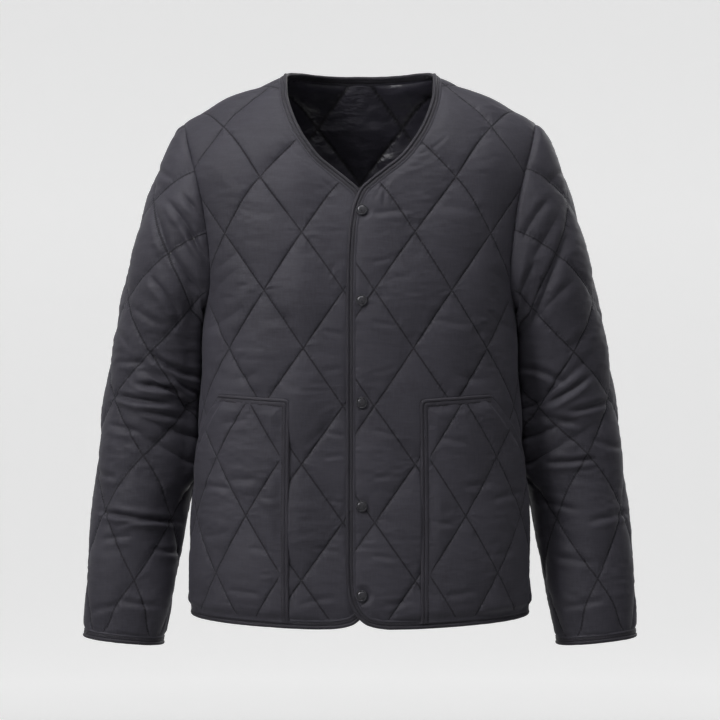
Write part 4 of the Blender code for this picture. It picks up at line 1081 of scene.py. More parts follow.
def sheen_wrinkles(s, t, seed):
    """The light cloth's own shallow wrinkles, longer across the piece than along it."""
    low = layered(s / 34 + 0.2 * noise(s / 40, t / 40, seed + 5), t / 9.5, seed)
    wide = noise(s / 60, t / 46, seed + 2)
    fine = noise(s / 11, t / 4.6, seed + 3) * smooth(0.5 + noise(s / 45, t / 38, seed + 4))
    return 0.19 * low + 0.60 * wide + 0.34 * fine


# ------------------------------------------------------------------ quilting layouts
def body_lattice(side):
    """Line numbers at (a, q) for a front: side is the wearer's left, 1, or right, -1."""
    first, wide = (17.0, 47.5) if side > 0 else (20.0, 48.5)

    def lattice(grid):
        a, q = grid[..., 0] / MM, grid[..., 1] / MM
        k, m = (a - first) / wide, (q + 268.0) / 68.3
        w, w2 = smooth((q + 160) / 90), smooth((q + 72) / 60)
        return (k + m) / 2 + 0.20 * w + 0.09 * w2, (k - m) / 2 + 0.09 * w + 0.09 * w2

    return lattice


def back_lattice(grid):
    a, q = np.abs(grid[..., 0]) / MM, grid[..., 1] / MM
    k, m = a / 48.0, (q + 264.6) / 68.3
    return (k + m) / 2, (k - m) / 2


def back_signed(grid):
    """The back's lines run straight through the centre, so k keeps its sign."""
    a, q = grid[..., 0] / MM, grid[..., 1] / MM
    k, m = a / 48.0, (q + 264.6) / 68.3
    return (k + m) / 2, (k - m) / 2


def pocket_lattice(side):
    first, wide = (124.0, 43.5) if side > 0 else (134.5, 42.5)

    def lattice(grid):
        a, q = grid[..., 0] / MM, grid[..., 1] / MM
        k, m = (a - first) / wide, (q + 534.0) / 68.6
        return (k + m) / 2, (k - m) / 2

    return lattice


SLEEVE_DOWN = ((-0.14, -2.7), (0.0246, 0.0), (0.144, 2.0), (0.269, 4.0), (0.420, 6.0), (0.52, 7.25))
SLEEVE_MIDDLE = {
    -1: ((-0.14, 76.0), (0.0, 76.0), (0.144, 81.0), (0.269, 87.5), (0.42, 97.0), (0.52, 99.0)),
    1: ((-0.14, 71.0), (0.0, 72.0), (0.144, 76.5), (0.269, 76.0), (0.42, 84.0), (0.52, 86.0)),
}


def sleeve_lattice(side):
    def lattice(grid):
        t, turn = grid[..., 0], grid[..., 1]
        p = sleeve_point(t, turn)
        down = (p[..., 0] - 0.215) * 0.147 - (p[..., 2] + 0.200) * 0.989
        m = hermite(SLEEVE_DOWN, down)[0]
        k = (hermite(SLEEVE_MIDDLE[side], down)[0] - turn) / 45.0
        return (k + m) / 2, (k - m) / 2

    return lattice


def armpit_share(points):
    """1 round the bottom of an armhole, where the cloth is drawn down into the seam."""
    return smooth((points[..., 2] + 0.335) / 0.030) * smooth((-0.222 - points[..., 2]) / 0.050)


# ------------------------------------------------------------------ fronts
def front_stations(spacing):
    outline = front_outline()
    run = np.concatenate([[0], np.cumsum(np.linalg.norm(np.diff(outline, axis=0), axis=1))])
    normals = inward(outline, -1.0, False)
    normals = seam_cut(outline, normals, shoulder_dir(), 0.030, False)
    normals = seam_cut(outline[::-1], normals[::-1], np.array([0.0, 1.0]), 0.030, False)[::-1]
    corner = run[np.argmin(np.hypot(outline[:, 0] - 0.0007, outline[:, 1] + 0.656))]
    hem_cells = int(round(corner / spacing))
    edge_cells = int(round((run[-1] - corner) / spacing))
    at = np.concatenate(
        [np.linspace(0, corner, hem_cells + 1), np.linspace(corner, run[-1], edge_cells + 1)[1:]]
    )
    edge = np.column_stack([np.interp(at, run, outline[:, i]) for i in (0, 1)])
    turn_in = np.column_stack([np.interp(at, run, normals[:, i]) for i in (0, 1)])
    return edge, turn_in, at, hem_cells


def under_pocket(a, q, side):
    """1 where a pocket covers the front, 0 away from it."""
    lower, upper, outer, mouth = pocket_lines(side)
    line = (outer - upper) / np.linalg.norm(outer - upper)
    slant = (mouth - outer) / np.linalg.norm(mouth - outer)
    top = -((q - upper[1]) * line[0] - (a - upper[0]) * line[1]) / MM
    out = ((q - outer[1]) * slant[0] - (a - outer[0]) * slant[1]) / MM
    inner = (a - upper[0]) / MM
    return smooth(top / 5) * smooth(inner / 5) * smooth(-out / 6)


def beside_pocket(a, q, side):
    """Distance in mm outside a pocket's inner and top edges, 0 inside them."""
    lower, upper, outer, mouth = pocket_lines(side)
    line = (outer - upper) / np.linalg.norm(outer - upper)
    top = ((q - upper[1]) * line[0] - (a - upper[0]) * line[1]) / MM
    inner = (upper[0] - a) / MM
    past = np.clip((a - outer[0]) / MM, 0, None)
    return np.sqrt(np.clip(top, 0, None) ** 2 + np.clip(inner, 0, None) ** 2 + past**2)


def front_sheet(side, on_top, spacing, lining):
    edge, turn_in, at, hem_cells = front_stations(spacing)
    steps = BOUND_STEPS * MM
    lines = edge[None] + turn_in[None] * steps[:, None, None]
    rim = lines[-1]
    left, bottom = rim[hem_cells:], rim[: hem_cells + 1][::-1]
    rows = len(left)
    side_top = flat(float(hermite(BODY, ARMPIT_Z)[0]), ARMPIT_Z)
    seam_cells = int(round((rows - 1) * 0.52))
    seam = np.linspace(bottom[-1], side_top, seam_cells + 1)
    seam[:, 0] = girth(seam[:, 1])
    arm_cells = rows - 1 - seam_cells
    turn = np.linspace(180, 0, arm_cells + 1)
    right = np.vstack([seam[:-1], armhole_at(turn, False)])
    top_line = through(
        np.vstack([left[-1:], *[flat(x, ridge(x))[None] for x in np.linspace(0.112, SHOULDER_X, 6)]]), 400
    )
    grid = relax(coons(bottom, spaced(top_line, hem_cells), left, right))
    lattice = body_lattice(side)
    grid, on_u, on_v = slide_to_lines(grid, lattice)
    cols = grid.shape[1]
    index = np.arange(rows * cols).reshape(rows, cols)
    tris = split_cells(index, on_u, on_v)
    # strips out to the edge held inside the binding
    bound = np.concatenate([index[0, ::-1], index[1:, 0]])
    chain = len(bound)
    strip = rows * cols + np.arange((len(steps) - 1) * chain).reshape(len(steps) - 1, chain)
    ladder = np.vstack([strip, bound[None]])
    none = np.zeros(ladder.shape, bool)
    tris = np.concatenate([tris, split_cells(ladder, none, none)[:, ::-1]])
    # everything below is on the flat list of points: the grid, then the strips
    flat_pts = np.vstack([grid.reshape(-1, 2), lines[:-1].reshape(-1, 2)])
    a, q = flat_pts.T
    mid = body_point(a, q, False)
    normal = body_normal(a, q, False)
    lift = lap(mid[:, 0], on_top)
    mid = mid + lift[:, None] * normal
    lapped = np.abs(lap(mid[:, 0], True)) / LAP
    dl, dr, db, dt = edge_distance(mid[: rows * cols].reshape(rows, cols, 3))
    d_side, side_at = line_distance(mid, (mid[index[:, -1]],))
    d_top, top_at = line_distance(mid, (mid[index[-1]],))
    d_bound = BOUND_STEPS[-1] + np.minimum(dl, db)
    beside = dl < db
    along = np.where(beside, at[hem_cells:][:, None], at[: hem_cells + 1][::-1][None]) / MM
    turn_row = np.concatenate([np.full(seam_cells, 180.0), turn])
    chain_run = at / MM
    d_bound = np.concatenate([d_bound.ravel(), np.repeat(BOUND_STEPS[:-1], chain)])
    along = np.concatenate([along.ravel(), np.tile(chain_run, len(steps) - 1)])
    pit = armpit_share(mid)
    u, v = lattice(flat_pts)
    flags = np.zeros((2, len(flat_pts)), bool)
    flags[0, : rows * cols], flags[1, : rows * cols] = on_u.ravel(), on_v.ravel()
    share, lip = bound_profile(d_bound)
    near_seam = seam_share(d_side) * (1 - pit * (1 - smooth(d_side / 30))) * seam_share(d_top)
    near_seam *= (1 - 0.50 * smooth((62 - d_side) / 46)) * (1 - 0.20 * smooth((52 - d_top) / 44))
    share = share * near_seam
    covered = under_pocket(a, q, side)
    crown = (1.35 if lining else 4.9 + 2.1 * smooth((-0.37 - mid[:, 2]) / 0.08)) * (1 - 0.45 * lapped)
    seed = 100 + 10 * side + (1 if lining else 0)
    puffs = quilt_height(u, v, flags[0], flags[1], crown, 100 + 10 * side, 0.6 if lining else 1.2)
    base = 1.0 - 0.62 * np.exp(-np.minimum(d_side, d_top) / 2.5)
    base = np.where(d_bound < 8.5, np.minimum(base, 0.62), base)
    h = base + share * puffs + lip * near_seam * (0.4 if lining else 1.0)
    h += edge_puckers(np.clip(d_bound - 10.6, 0, None), along, seed + 50, 0.55)
    h += edge_puckers(d_side, side_at, seed + 60, 0.45) * smooth((d_bound - 9) / 5)
    h += edge_puckers(d_top, top_at, seed + 70, 0.35)
    if not lining:
        h += share * sheen_wrinkles(a / MM, q / MM, seed) * 1.3
        rows_here = FRONT_FOLDS[side]
        h += share * 1.3 * placed_folds(mid, normal, side, rows_here, ())
        # the lines fill out where the pocket's band presses on them
        h = np.maximum(h, 2.0 * smooth(1 - beside_pocket(a, q, side) / 9) * smooth(d_side / 12))
        h = h * (1 - covered) + (0.25 + 0.45 * smooth(d_side / 10)) * covered
    if on_top:
        for number, z in enumerate(SNAP_Z):
            centre = flat(SNAP_X, z)
            r = np.hypot(a - centre[0], q - centre[1]) / MM
            turn_r = np.arctan2(q - centre[1], a - centre[0])
            hold = smooth((15.0 - r) / 8.5)
            spokes = 0.5 * noise(turn_r * 2.4 + 9 * number, r / 16, 300 + number)
            h = h * (1 - hold) + (1.05 if not lining else 1.0) * hold
            if not lining:
                h += spokes * smooth((r - 6.5) / 3) * np.exp(-np.clip(r - 8, 0, None) / 8)
    h = np.maximum(h, 0.2)
    # rims that meet another piece
    seam_idx = index[:seam_cells, -1]
    top_idx = index[-1, :-1]
    level_idx = np.concatenate([seam_idx, top_idx, strip[:, 0], strip[:, -1]])
    normal[level_idx] = level(normal[level_idx])
    mid[level_idx, 1] -= 0.10 * MM
    ring, shared = armhole_frame(turn)
    arm_idx = index[seam_cells:, -1]
    d = mid[index[seam_cells:, -4]] - ring
    d /= np.linalg.norm(d, axis=1, keepdims=True)
    mid[arm_idx] = ring + d * 0.12 * MM
    normal[arm_idx] = shared
    sign = -1 if lining else 1
    points = mid + normal * (sign * h * MM)[:, None]
    return points, tris, np.column_stack([u, v, share])


# ------------------------------------------------------------------ back
def back_stations(spacing):
    side_a = float(girth(-0.6565))
    neck_line = back_neck_outline()
    run = np.concatenate([[0], np.cumsum(np.linalg.norm(np.diff(neck_line, axis=0), axis=1))])
    normals = inward(neck_line, 1.0, True)
    sd = shoulder_dir()
    normals = seam_cut(neck_line, normals, sd * [-1, 1], 0.030, True)
    normals = seam_cut(neck_line[::-1], normals[::-1], sd, 0.030, True)[::-1]
    neck_cells = int(round(run[-1] / spacing / 2)) * 2
    hem_cells = int(round(2 * side_a / spacing / 2)) * 2
    share = np.linspace(0, 1, neck_cells + 1)
    at = run[-1] * (share - 0.25 * np.sin(math.tau * share) / math.tau)
    neck = np.column_stack([np.interp(at, run, neck_line[:, i]) for i in (0, 1)])
    neck_in = np.column_stack([np.interp(at, run, normals[:, i]) for i in (0, 1)])
    across = np.linspace(-side_a, side_a, hem_cells + 1)
    hem = np.column_stack([across, hem_q(across)])
    up = np.tile([0.0, 1.0], (len(hem), 1))
    return hem, up, across, neck, neck_in, at


def back_sheet(spacing, lining):
    hem, up, across, neck, neck_in, neck_at = back_stations(spacing)
    steps = BOUND_STEPS * MM
    hem_lines = hem[None] + up[None] * steps[:, None, None]
    neck_lines = (neck[None] + neck_in[None] * steps[:, None, None])[:, ::-1]
    hem_cells, neck_cells = len(hem) - 1, len(neck) - 1
    wing = (hem_cells - neck_cells) // 2
    bottom, neck_rim = hem_lines[-1], neck_lines[-1]
    side_top = flat(float(hermite(BODY, ARMPIT_Z)[0]), ARMPIT_Z)
    rows = int(round(0.60 / spacing)) + 1
    seam_cells = int(round((rows - 1) * 0.575))
    seam = np.linspace(bottom[-1], side_top, seam_cells + 1)
    seam[:, 0] = girth(seam[:, 1])
    turn = np.linspace(180, 0, rows - seam_cells)
    right = np.vstack([seam[:-1], armhole_at(turn, True)])
    left = right * np.array([-1, 1])
    line = np.vstack([neck_rim[-1:], *[flat(x, ridge(x))[None] for x in np.linspace(0.112, SHOULDER_X, 6)]])
    shoulder = spaced(through(line, 400), wing)
    top = np.vstack([shoulder[::-1] * [-1, 1], neck_rim[1:-1], shoulder])
    # cells drawn towards the neck grow thin, so the side lines share the columns out evenly
    grid = relax(coons(bottom, top, left, right))
    grid, on_u, on_v = slide_to_lines(grid, back_signed)
    cols = grid.shape[1]
    index = np.arange(rows * cols).reshape(rows, cols)
    tris = split_cells(index, on_u, on_v)
    total = rows * cols
    hem_strip = total + np.arange((len(steps) - 1) * cols).reshape(len(steps) - 1, cols)
    total += hem_strip.size
    neck_cols = index[-1, wing : cols - wing]
    neck_strip = total + np.arange((len(steps) - 1) * len(neck_cols)).reshape(len(steps) - 1, -1)
    total += neck_strip.size
    ladder = np.vstack([hem_strip, index[0][None]])
    none = np.zeros(ladder.shape, bool)
    tris = np.concatenate([tris, split_cells(ladder, none, none)])
    ladder = np.vstack([neck_cols[None], neck_strip[::-1]])
    none = np.zeros(ladder.shape, bool)
    tris = np.concatenate([tris, split_cells(ladder, none, none)])
    flat_pts = np.vstack([grid.reshape(-1, 2), hem_lines[:-1].reshape(-1, 2), neck_lines[:-1].reshape(-1, 2)])
    a, q = flat_pts.T
    mid = body_point(a, q, True)
    normal = body_normal(a, q, True)
    cells = rows * cols
    db = edge_distance(mid[:cells].reshape(rows, cols, 3))[2]
    far = np.full(hem_strip.shape, 400.0)
    far_n = np.full(neck_strip.shape, 400.0)
    strip_d = np.repeat(BOUND_STEPS[:-1], cols)
    neck_d = np.repeat(BOUND_STEPS[:-1], len(neck_cols))
    d_hem = np.concatenate([(BOUND_STEPS[-1] + db).ravel(), strip_d, far_n.ravel()])
    near_neck = line_distance(mid[:cells], (mid[neck_cols],))[0]
    d_neck = np.concatenate([BOUND_STEPS[-1] + near_neck, far.ravel(), neck_d])
    d_sides, side_at = line_distance(mid, (mid[index[:, -1]], mid[index[:, 0]]))
    d_top, top_at = line_distance(mid, (mid[index[-1, : wing + 1]], mid[index[-1, cols - wing - 1 :]]))
    pit = armpit_share(mid)
    u, v = back_signed(flat_pts)
    flags = np.zeros((2, len(flat_pts)), bool)
    flags[0, :cells], flags[1, :cells] = on_u.ravel(), on_v.ravel()
    share_h, lip_h = bound_profile(d_hem)
    share_n, lip_n = bound_profile(d_neck)
    near_seam = seam_share(d_sides) * (1 - pit * (1 - smooth(d_sides / 30))) * seam_share(d_top)
    near_seam *= (1 - 0.50 * smooth((62 - d_sides) / 46)) * (1 - 0.20 * smooth((52 - d_top) / 44))
    share = share_h * share_n * near_seam
    seed = 200 + (1 if lining else 0)
    high = smooth((q + 0.23) / 0.06)
    crown = 1.7 + 3.6 * high if lining else 4.8
    puffs = quilt_height(u, v, flags[0], flags[1], crown, 200, 1.0)
    base = 1.0 - 0.62 * np.exp(-np.minimum(d_sides, d_top) / 2.5)
    base = np.where(np.minimum(d_hem, d_neck) < 8.5, np.minimum(base, 0.62), base)
    h = base + share * puffs + (lip_h + lip_n) * near_seam * (0.5 if lining else 1.0)
    h += edge_puckers(np.clip(d_hem - 10.6, 0, None), a / MM, seed + 50, 0.55)
    h += edge_puckers(np.clip(d_neck - 10.6, 0, None), a / MM * 1.2, seed + 55, 0.6)
    h += edge_puckers(d_sides, side_at + 500 * (a > 0), seed + 60, 0.45)
    h += edge_puckers(d_top, top_at, seed + 70, 0.35)
    h += share * sheen_wrinkles(a / MM, q / MM, seed) * (0.8 + 0.9 * high if lining else 1.3)
    if not lining:
        h += share * 1.7 * placed_folds(mid, normal, 1, (), BACK_FOLDS)
    else:
        h += share * 0.75 * layered(a / MM / 15, q / MM / 7.5, seed + 80) * high
    h = np.maximum(h, 0.2)
    seam_idx = np.concatenate([index[:seam_cells, -1], index[:seam_cells, 0]])
    wings = np.concatenate([index[-1, : wing + 1], index[-1, cols - wing - 1 :]])
    level_idx = np.concatenate(
        [seam_idx, wings, hem_strip[:, 0], hem_strip[:, -1], neck_strip[:, 0], neck_strip[:, -1]]
    )
    normal[level_idx] = level(normal[level_idx])
    mid[level_idx, 1] += 0.10 * MM
    ring, shared = armhole_frame(np.where(turn == 0, 359.999, 360 - turn))
    for column, near, side in ((-1, -4, 1), (0, 3, -1)):
        arm_idx = index[seam_cells:, column]
        here = ring * np.array([side, 1, 1])
        d = mid[index[seam_cells:, near]] - here
        d /= np.linalg.norm(d, axis=1, keepdims=True)
        mid[arm_idx] = here + d * 0.12 * MM
        normal[arm_idx] = shared * np.array([side, 1, 1])
    sign = -1 if lining else 1
    points = mid + normal * (sign * h * MM)[:, None]
    return points, tris[:, ::-1], np.column_stack([u, v, share])


# ------------------------------------------------------------------ sleeves
def sleeve_room(t, turn):
    """The cloth stands a little off the sleeve's outer side, all the way down to the cuff."""
    return 3.4 * MM * smooth((np.asarray(t) - 0.05) / 0.35) * (0.5 + 0.5 * np.cos(np.radians(turn))) ** 0.8


def cuff_frame(turn):
    """End ring of the sleeve, the line it runs along and the outward directions there."""
    end = sleeve_point(np.full(len(turn), 1.0), turn)
    rim = sleeve_point(np.full(len(turn), 1 - BIND_W / 0.42), turn)
    axis = (end - rim).mean(axis=0)
    axis /= np.linalg.norm(axis)
    radial = sleeve_normal(np.full(len(turn), 0.97), turn)
    radial -= (radial @ axis)[:, None] * axis
    radial /= np.linalg.norm(radial, axis=1, keepdims=True)
    return end, axis, radial


def against_body(tree, side, points, shape):
    """How far, in metres, each point of a sleeve moves across so that it hangs against the body."""
    move = np.zeros(len(points))
    z = points[:, 2]
    turn = np.abs(np.broadcast_to(np.linspace(180, -180, shape[1])[None], shape).ravel())
    weight = smooth((-0.286 - z) / 0.014) * smooth((z + 0.514) / 0.034) * smooth((turn - 95) / 25)
    for k in np.flatnonzero(weight > 0):
        x, y, height = points[k]
        hit = tree.ray_cast(Vector((side * (x + 0.012), y, height)), Vector((-side, 0, 0)), 0.036)
        if hit[0] is not None:
            gap = hit[3] - 0.012
            move[k] = (gap - 1.3 * MM) * (smooth((0.019 - gap) / 0.009) if gap > 0 else 1.0)
    move = np.clip(move, -2.5 * MM, 9 * MM).reshape(shape)
    soft = move
    for axis, times in ((0, 6), (1, 3)):
        for _ in range(times):
            soft = 0.5 * soft + 0.25 * (np.roll(soft, 1, axis) + np.roll(soft, -1, axis))
    # below that it swings clear again
    away = smooth((-0.500 - z) / 0.012) * smooth((z + 0.575) / 0.055) * smooth((turn - 95) / 40)
    return np.minimum(soft, move + 0.5 * MM) * weight.reshape(shape) - 2.6 * MM * away.reshape(shape)


def sleeve_sheet(side, count, rows, lining, close=None):
    turn = np.linspace(179.97, -179.97, count + 1)
    length = 0.42
    tail = 1 - BOUND_STEPS[::-1] * MM / length
    t = np.concatenate([np.linspace(0, tail[0], rows + 1), tail[1:]])
    t[: rows + 1] = tail[0] * (np.linspace(0, 1, rows + 1) - 0.05 * np.sin(math.pi * np.linspace(0, 1, rows + 1)))
    grid = np.stack(np.meshgrid(t, turn, indexing="ij"), axis=-1)
    lattice = sleeve_lattice(side)
    fixed = np.zeros(grid.shape[:2], bool)
    fixed[rows:] = True
    grid, on_u, on_v = slide_to_lines(grid / [0.0016, 1.0], lambda g: lattice(g * [0.0016, 1.0]), fixed)
    grid = grid * [0.0016, 1.0]
    n_rows, n_cols = grid.shape[:2]
    index = np.arange(n_rows * n_cols).reshape(n_rows, n_cols)
    tris = split_cells(index, on_u, on_v)
    tt, ww = grid[..., 0], grid[..., 1]
    mid = sleeve_point(tt, ww)
    normal = sleeve_normal(tt, ww)
    end, axis, radial = cuff_frame(turn)
    straight = end[None] - axis * ((1 - tt) * length)[..., None]
    w = smooth((tt - 0.925) / 0.035)[..., None]
    mid = mid * (1 - w) + straight * w
    mid[..., 0] += sleeve_room(tt, ww)
    normal = normal * (1 - w) + radial[None] * w
    normal /= np.linalg.norm(normal, axis=-1, keepdims=True)
    dl, dr, d_arm, db = edge_distance(mid)
    # in front, the side next to the body falls back behind it
    depth, height = mid[..., 1], mid[..., 2]
    fore = (depth - depth.mean(axis=1, keepdims=True)) / (np.ptp(depth, axis=1)[:, None] / 2)
    back = smooth((0.5 - fore) / 0.9) * smooth((np.abs(ww) - 80) / 70) * smooth((d_arm - 15) / 35)
    mid[..., 1] += 9 * MM * back * smooth((-0.215 - height) / 0.05) * smooth((height + 0.655) / 0.06)
    d_cuff = db - db[rows][None] + BOUND_STEPS[-1]
    for k, step in enumerate(BOUND_STEPS[::-1]):
        d_cuff[rows + k] = step
    d_seam = np.minimum(dl, dr)
    fold_turn = np.abs(ww)
    pit = smooth((fold_turn - 80) / 50)
    u, v = lattice(grid)
    share_c, lip = bound_profile(d_cuff)
    arm_share = seam_share(d_arm) * (1 - pit * (1 - smooth(d_arm / 30)))
    share = share_c * arm_share * seam_share(d_seam)
    # the side that hangs against the body is pressed flatter
    pressed = smooth((fold_turn - 120) / 50) * smooth((-0.24 - mid[..., 2]) / 0.06) * smooth((-0.52 - mid[..., 2]) / -0.08)
    crown = (1.3 if lining else 4.4) * (1 - 0.45 * pressed)
    seed = 400 + 10 * side + (1 if lining else 0)
    puffs = quilt_height(u, v, on_u, on_v, crown, 400 + 10 * side, 0.6 if lining else 1.35)
    base = 1.0 - 0.62 * np.exp(-np.minimum(d_arm, d_seam) / 2.5)
    base = np.where(d_cuff < 8.5, np.minimum(base, 0.62), base)
    h = base + share * puffs + lip * (0.4 if lining else 1.0)
    girth_mm = (dl + dr)[:, :1]
    around = ww / 360 * girth_mm
    down = -mid[..., 2] / MM
    h += edge_puckers(np.clip(d_cuff - 10.6, 0, None), around, seed + 50, 0.6)
    h += edge_puckers(d_arm, ww * 1.3, seed + 60, 0.7)
    h += edge_puckers(d_seam, down, seed + 70, 0.4)
    if not lining:
        h += share * sheen_wrinkles(around, down, seed) * 1.5
        h += 1.75 * np.sqrt(np.clip(share, 0, 1)) * placed_folds(
            mid, normal, side, SLEEVE_CREASES[side], SLEEVE_BACK_FOLDS
        )
        # the sleeve's head stands up a little over the shoulder
        h += 2.2 * smooth(d_arm / 9) * np.exp(-((d_arm / 70) ** 2)) * (0.5 + 0.5 * np.cos(np.radians(ww))) ** 1.5
    h = np.maximum(h, 0.2 if lining else -1.2)
    ring, shared = armhole_frame(np.mod(turn, 360))
    d = mid[3] - ring
    d /= np.linalg.norm(d, axis=1, keepdims=True)
    mid[0] = ring + d * 0.12 * MM
    normal[0] = shared
    sign = -1 if lining else 1
    points = mid + normal * (sign * h * MM)[..., None]
    if close is not None:
        i = np.round(np.linspace(0, close.shape[0] - 1, n_rows)).astype(int)
        j = np.round(np.linspace(0, close.shape[1] - 1, n_cols)).astype(int)
        points[..., 0] -= close[np.ix_(i, j)]
    return points.reshape(-1, 3), tris, np.stack([u, v, share], -1).reshape(-1, 3)


# ------------------------------------------------------------------ pockets
def pocket_sheet(side, on_top, spacing, lining):
    lower, upper, outer, mouth = pocket_lines(side)
    along = (outer - upper) / np.linalg.norm(outer - upper)
    low_in = np.array([upper[0], 0.0])
    # under the band by 5 mm along the top and the inner side
    tuck = 4.6 * MM
    corner = upper + along * tuck + np.array([0.0, -tuck])
    bottom_a = np.linspace(corner[0], float(girth(-0.6565)) - 0.6 * MM, int(0.155 / spacing) + 1)
    bottom = np.column_stack([bottom_a, hem_q(bottom_a) + 6.2 * MM])
    side_low, side_high = bottom[-1], mouth + [1.4 * MM, 0]
    rows_side = int(round((side_high[1] - side_low[1]) / spacing))
    rows_slant = int(round(np.linalg.norm(mouth - outer) / spacing))
    seam = np.linspace(side_low, side_high, rows_side + 1)
    seam[:, 0] = girth(seam[:, 1]) - 0.6 * MM
    slant = np.linspace(side_high, outer + [0, -2.0 * MM], rows_slant + 1)
    right = np.vstack([seam[:-1], slant])
    rows = len(right)
    left = np.linspace(bottom[0], corner, rows)
    top = np.linspace(corner, right[-1], len(bottom))
    grid = coons(bottom, top, left, right)
    lattice = pocket_lattice(side)
    grid, on_u, on_v = slide_to_lines(grid, lattice)
    cols = grid.shape[1]
    index = np.arange(rows * cols).reshape(rows, cols)
    tris = split_cells(index, on_u, on_v)
    a, q = grid[..., 0], grid[..., 1]
    mid, normal = cloth_surface(a, q, on_top, np.zeros(a.shape))
    dl, dr, db, dt = edge_distance(mid)
    d_slant = np.where((np.arange(rows) >= rows_side)[:, None], dr, 200.0)
    d_seam = np.where((np.arange(rows) < rows_side)[:, None], dr, np.hypot(dr, (np.arange(rows)[:, None] - rows_side) * spacing / MM))
    lift = 1.1 + 3.4 * smooth(d_seam / 16) ** 0.8
    lift = lift * (0.30 + 0.70 * smooth((db - 1.5) / 15))
    open_share = np.exp(-d_slant / 16) * smooth((np.arange(rows)[:, None] - rows_side) / (rows_slant * 0.4)) * smooth(
        (rows - 1 - np.arange(rows)[:, None]) / (rows_slant * 0.25)
    )
    lift = lift + 2.0 * open_share
    u, v = lattice(grid)
    share = seam_share(d_seam) * smooth((db - 5.0) / 6) * smooth((np.minimum(dl, dt) - 4.2) / 15) * smooth((d_slant - 8.5) / 6)
    hem = np.exp(-(((d_slant - 8.0) / 1.6) ** 2)) * 0.18
    crown = 0.9 if lining else 3.5
    seed = 600 + 10 * side + (1 if lining else 0)
    puffs = quilt_height(u, v, on_u, on_v, crown, 600 + 10 * side, 0.5 if lining else 1.15)
    half = 0.75 - 0.35 * np.exp(-d_slant / 0.8)
    h = half + share * puffs - hem * (1 - 0.5 * lining)
    if not lining:
        h += share * sheen_wrinkles(a / MM, q / MM, seed) * 1.2
        h += share * 1.4 * placed_folds(mid, normal, side, POCKET_FOLDS[side], ())
        h += edge_puckers(np.clip(np.minimum(dl, dt) - 4.8, 0, None), np.where(dl < dt, q, a) / MM, seed + 50, 0.6)
        h += edge_puckers(d_seam, q / MM, seed + 60, 0.5)
        h += edge_puckers(np.clip(db - 2.5, 0, None), a / MM, seed + 70, 0.5)
        h += edge_puckers(d_slant, q / MM, seed + 80, 0.9)
        h = np.maximum(h, 0.3)
    else:
        h = np.minimum(np.maximum(h, 0.3), 1.3)
    sign = -1 if lining else 1
    points = mid + normal * ((lift + sign * h) * MM)[..., None]
    return points.reshape(-1, 3), tris, np.stack([u, v, share], -1).reshape(-1, 3)


# ------------------------------------------------------------------ bound edges
# distance out from the inner rim, height off the middle of the cloth, share of the ribs
TAPE_SHAPE = np.array(
    (
        (-0.55, 0.35, 0.0), (-0.45, 0.95, 0.1), (-0.05, 1.42, 0.6), (0.7, 1.62, 1.0),
        (1.7, 1.66, 1.0), (2.7, 1.60, 1.0), (3.5, 1.50, 0.9), (4.05, 1.22, 0.3),
        (4.55, 1.75, 0.4), (5.2, 2.28, 0.5), (6.0, 2.52, 0.45), (6.8, 2.44, 0.4),
        (7.55, 2.08, 0.35), (8.15, 1.38, 0.25), (8.48, 0.45, 0.1), (8.45, -0.55, 0.0),
        (8.1, -1.4, 0.1), (7.3, -1.95, 0.3), (5.9, -2.15, 0.5), (4.2, -2.0, 0.7),
        (2.4, -1.85, 0.8), (0.7, -1.7, 0.6), (-0.2, -1.35, 0.2), (-0.55, -0.5, 0.0),
    )
)
BAND_SHAPE = np.array(
    (
        (-0.25, -0.9, 0.0), (-0.2, 0.35, 0.1), (0.25, 1.0, 0.7), (1.1, 1.22, 1.0),
        (2.2, 1.22, 1.0), (3.3, 1.18, 1.0), (4.3, 1.08, 0.9), (4.95, 0.66, 0.4),
        (5.5, 1.15, 0.4), (6.3, 1.62, 0.45), (7.3, 1.72, 0.4), (8.3, 1.5, 0.35),
        (9.1, 1.0, 0.25), (9.55, 0.25, 0.1), (9.5, -0.9, 0.0), (6.0, -1.2, 0.0), (2.0, -1.2, 0.0),
    )
)


def tape_ring(shape, at, seed, width, inner, out, normal, stretch, thin):
    """Section of a folded tape at every station, as (stations, section, 3) and its layout."""
    u = shape[:, 0][None]
    h = shape[:, 1][None] * np.ones((len(at), 1))
    ribs = shape[:, 2][None]
    s = at[:, None]
    slant = s + 0.9 * u
    pitch = noise(slant / 1.9 + 0.35 * noise(s / 17, u / 9, seed + 3), 0.2 * u, seed)
    drawn = noise(slant / 4.6, 0.3 * u, seed + 1)
    sway = noise(s / 23, 0, seed + 2)
    strength = 0.75 + 0.5 * noise(s / 19, u / 5, seed + 4)
    h = h + np.sign(shape[:, 1])[None] * ribs * strength * (0.31 * pitch + 0.20 * drawn)
    h = h + 0.12 * sway * ribs
    thick = np.abs(shape[:, 1])[None] > 1.0
    h = h - np.sign(shape[:, 1])[None] * thick * thin[:, None]
    edge_sway = (0.16 * noise(s / 8, 5, seed + 5) + 0.14 * noise(s / 30, 2, seed + 6)) * smooth(u / width)
    u = u - np.abs(edge_sway) * (u > 0.5 * width)
    points = inner[:, None] + out[:, None] * (u * MM * stretch[:, None])[..., None] + normal[:, None] * (h * MM)[..., None]
    layout = np.stack(np.broadcast_arrays(s, u, ribs), axis=-1)
    return points, layout


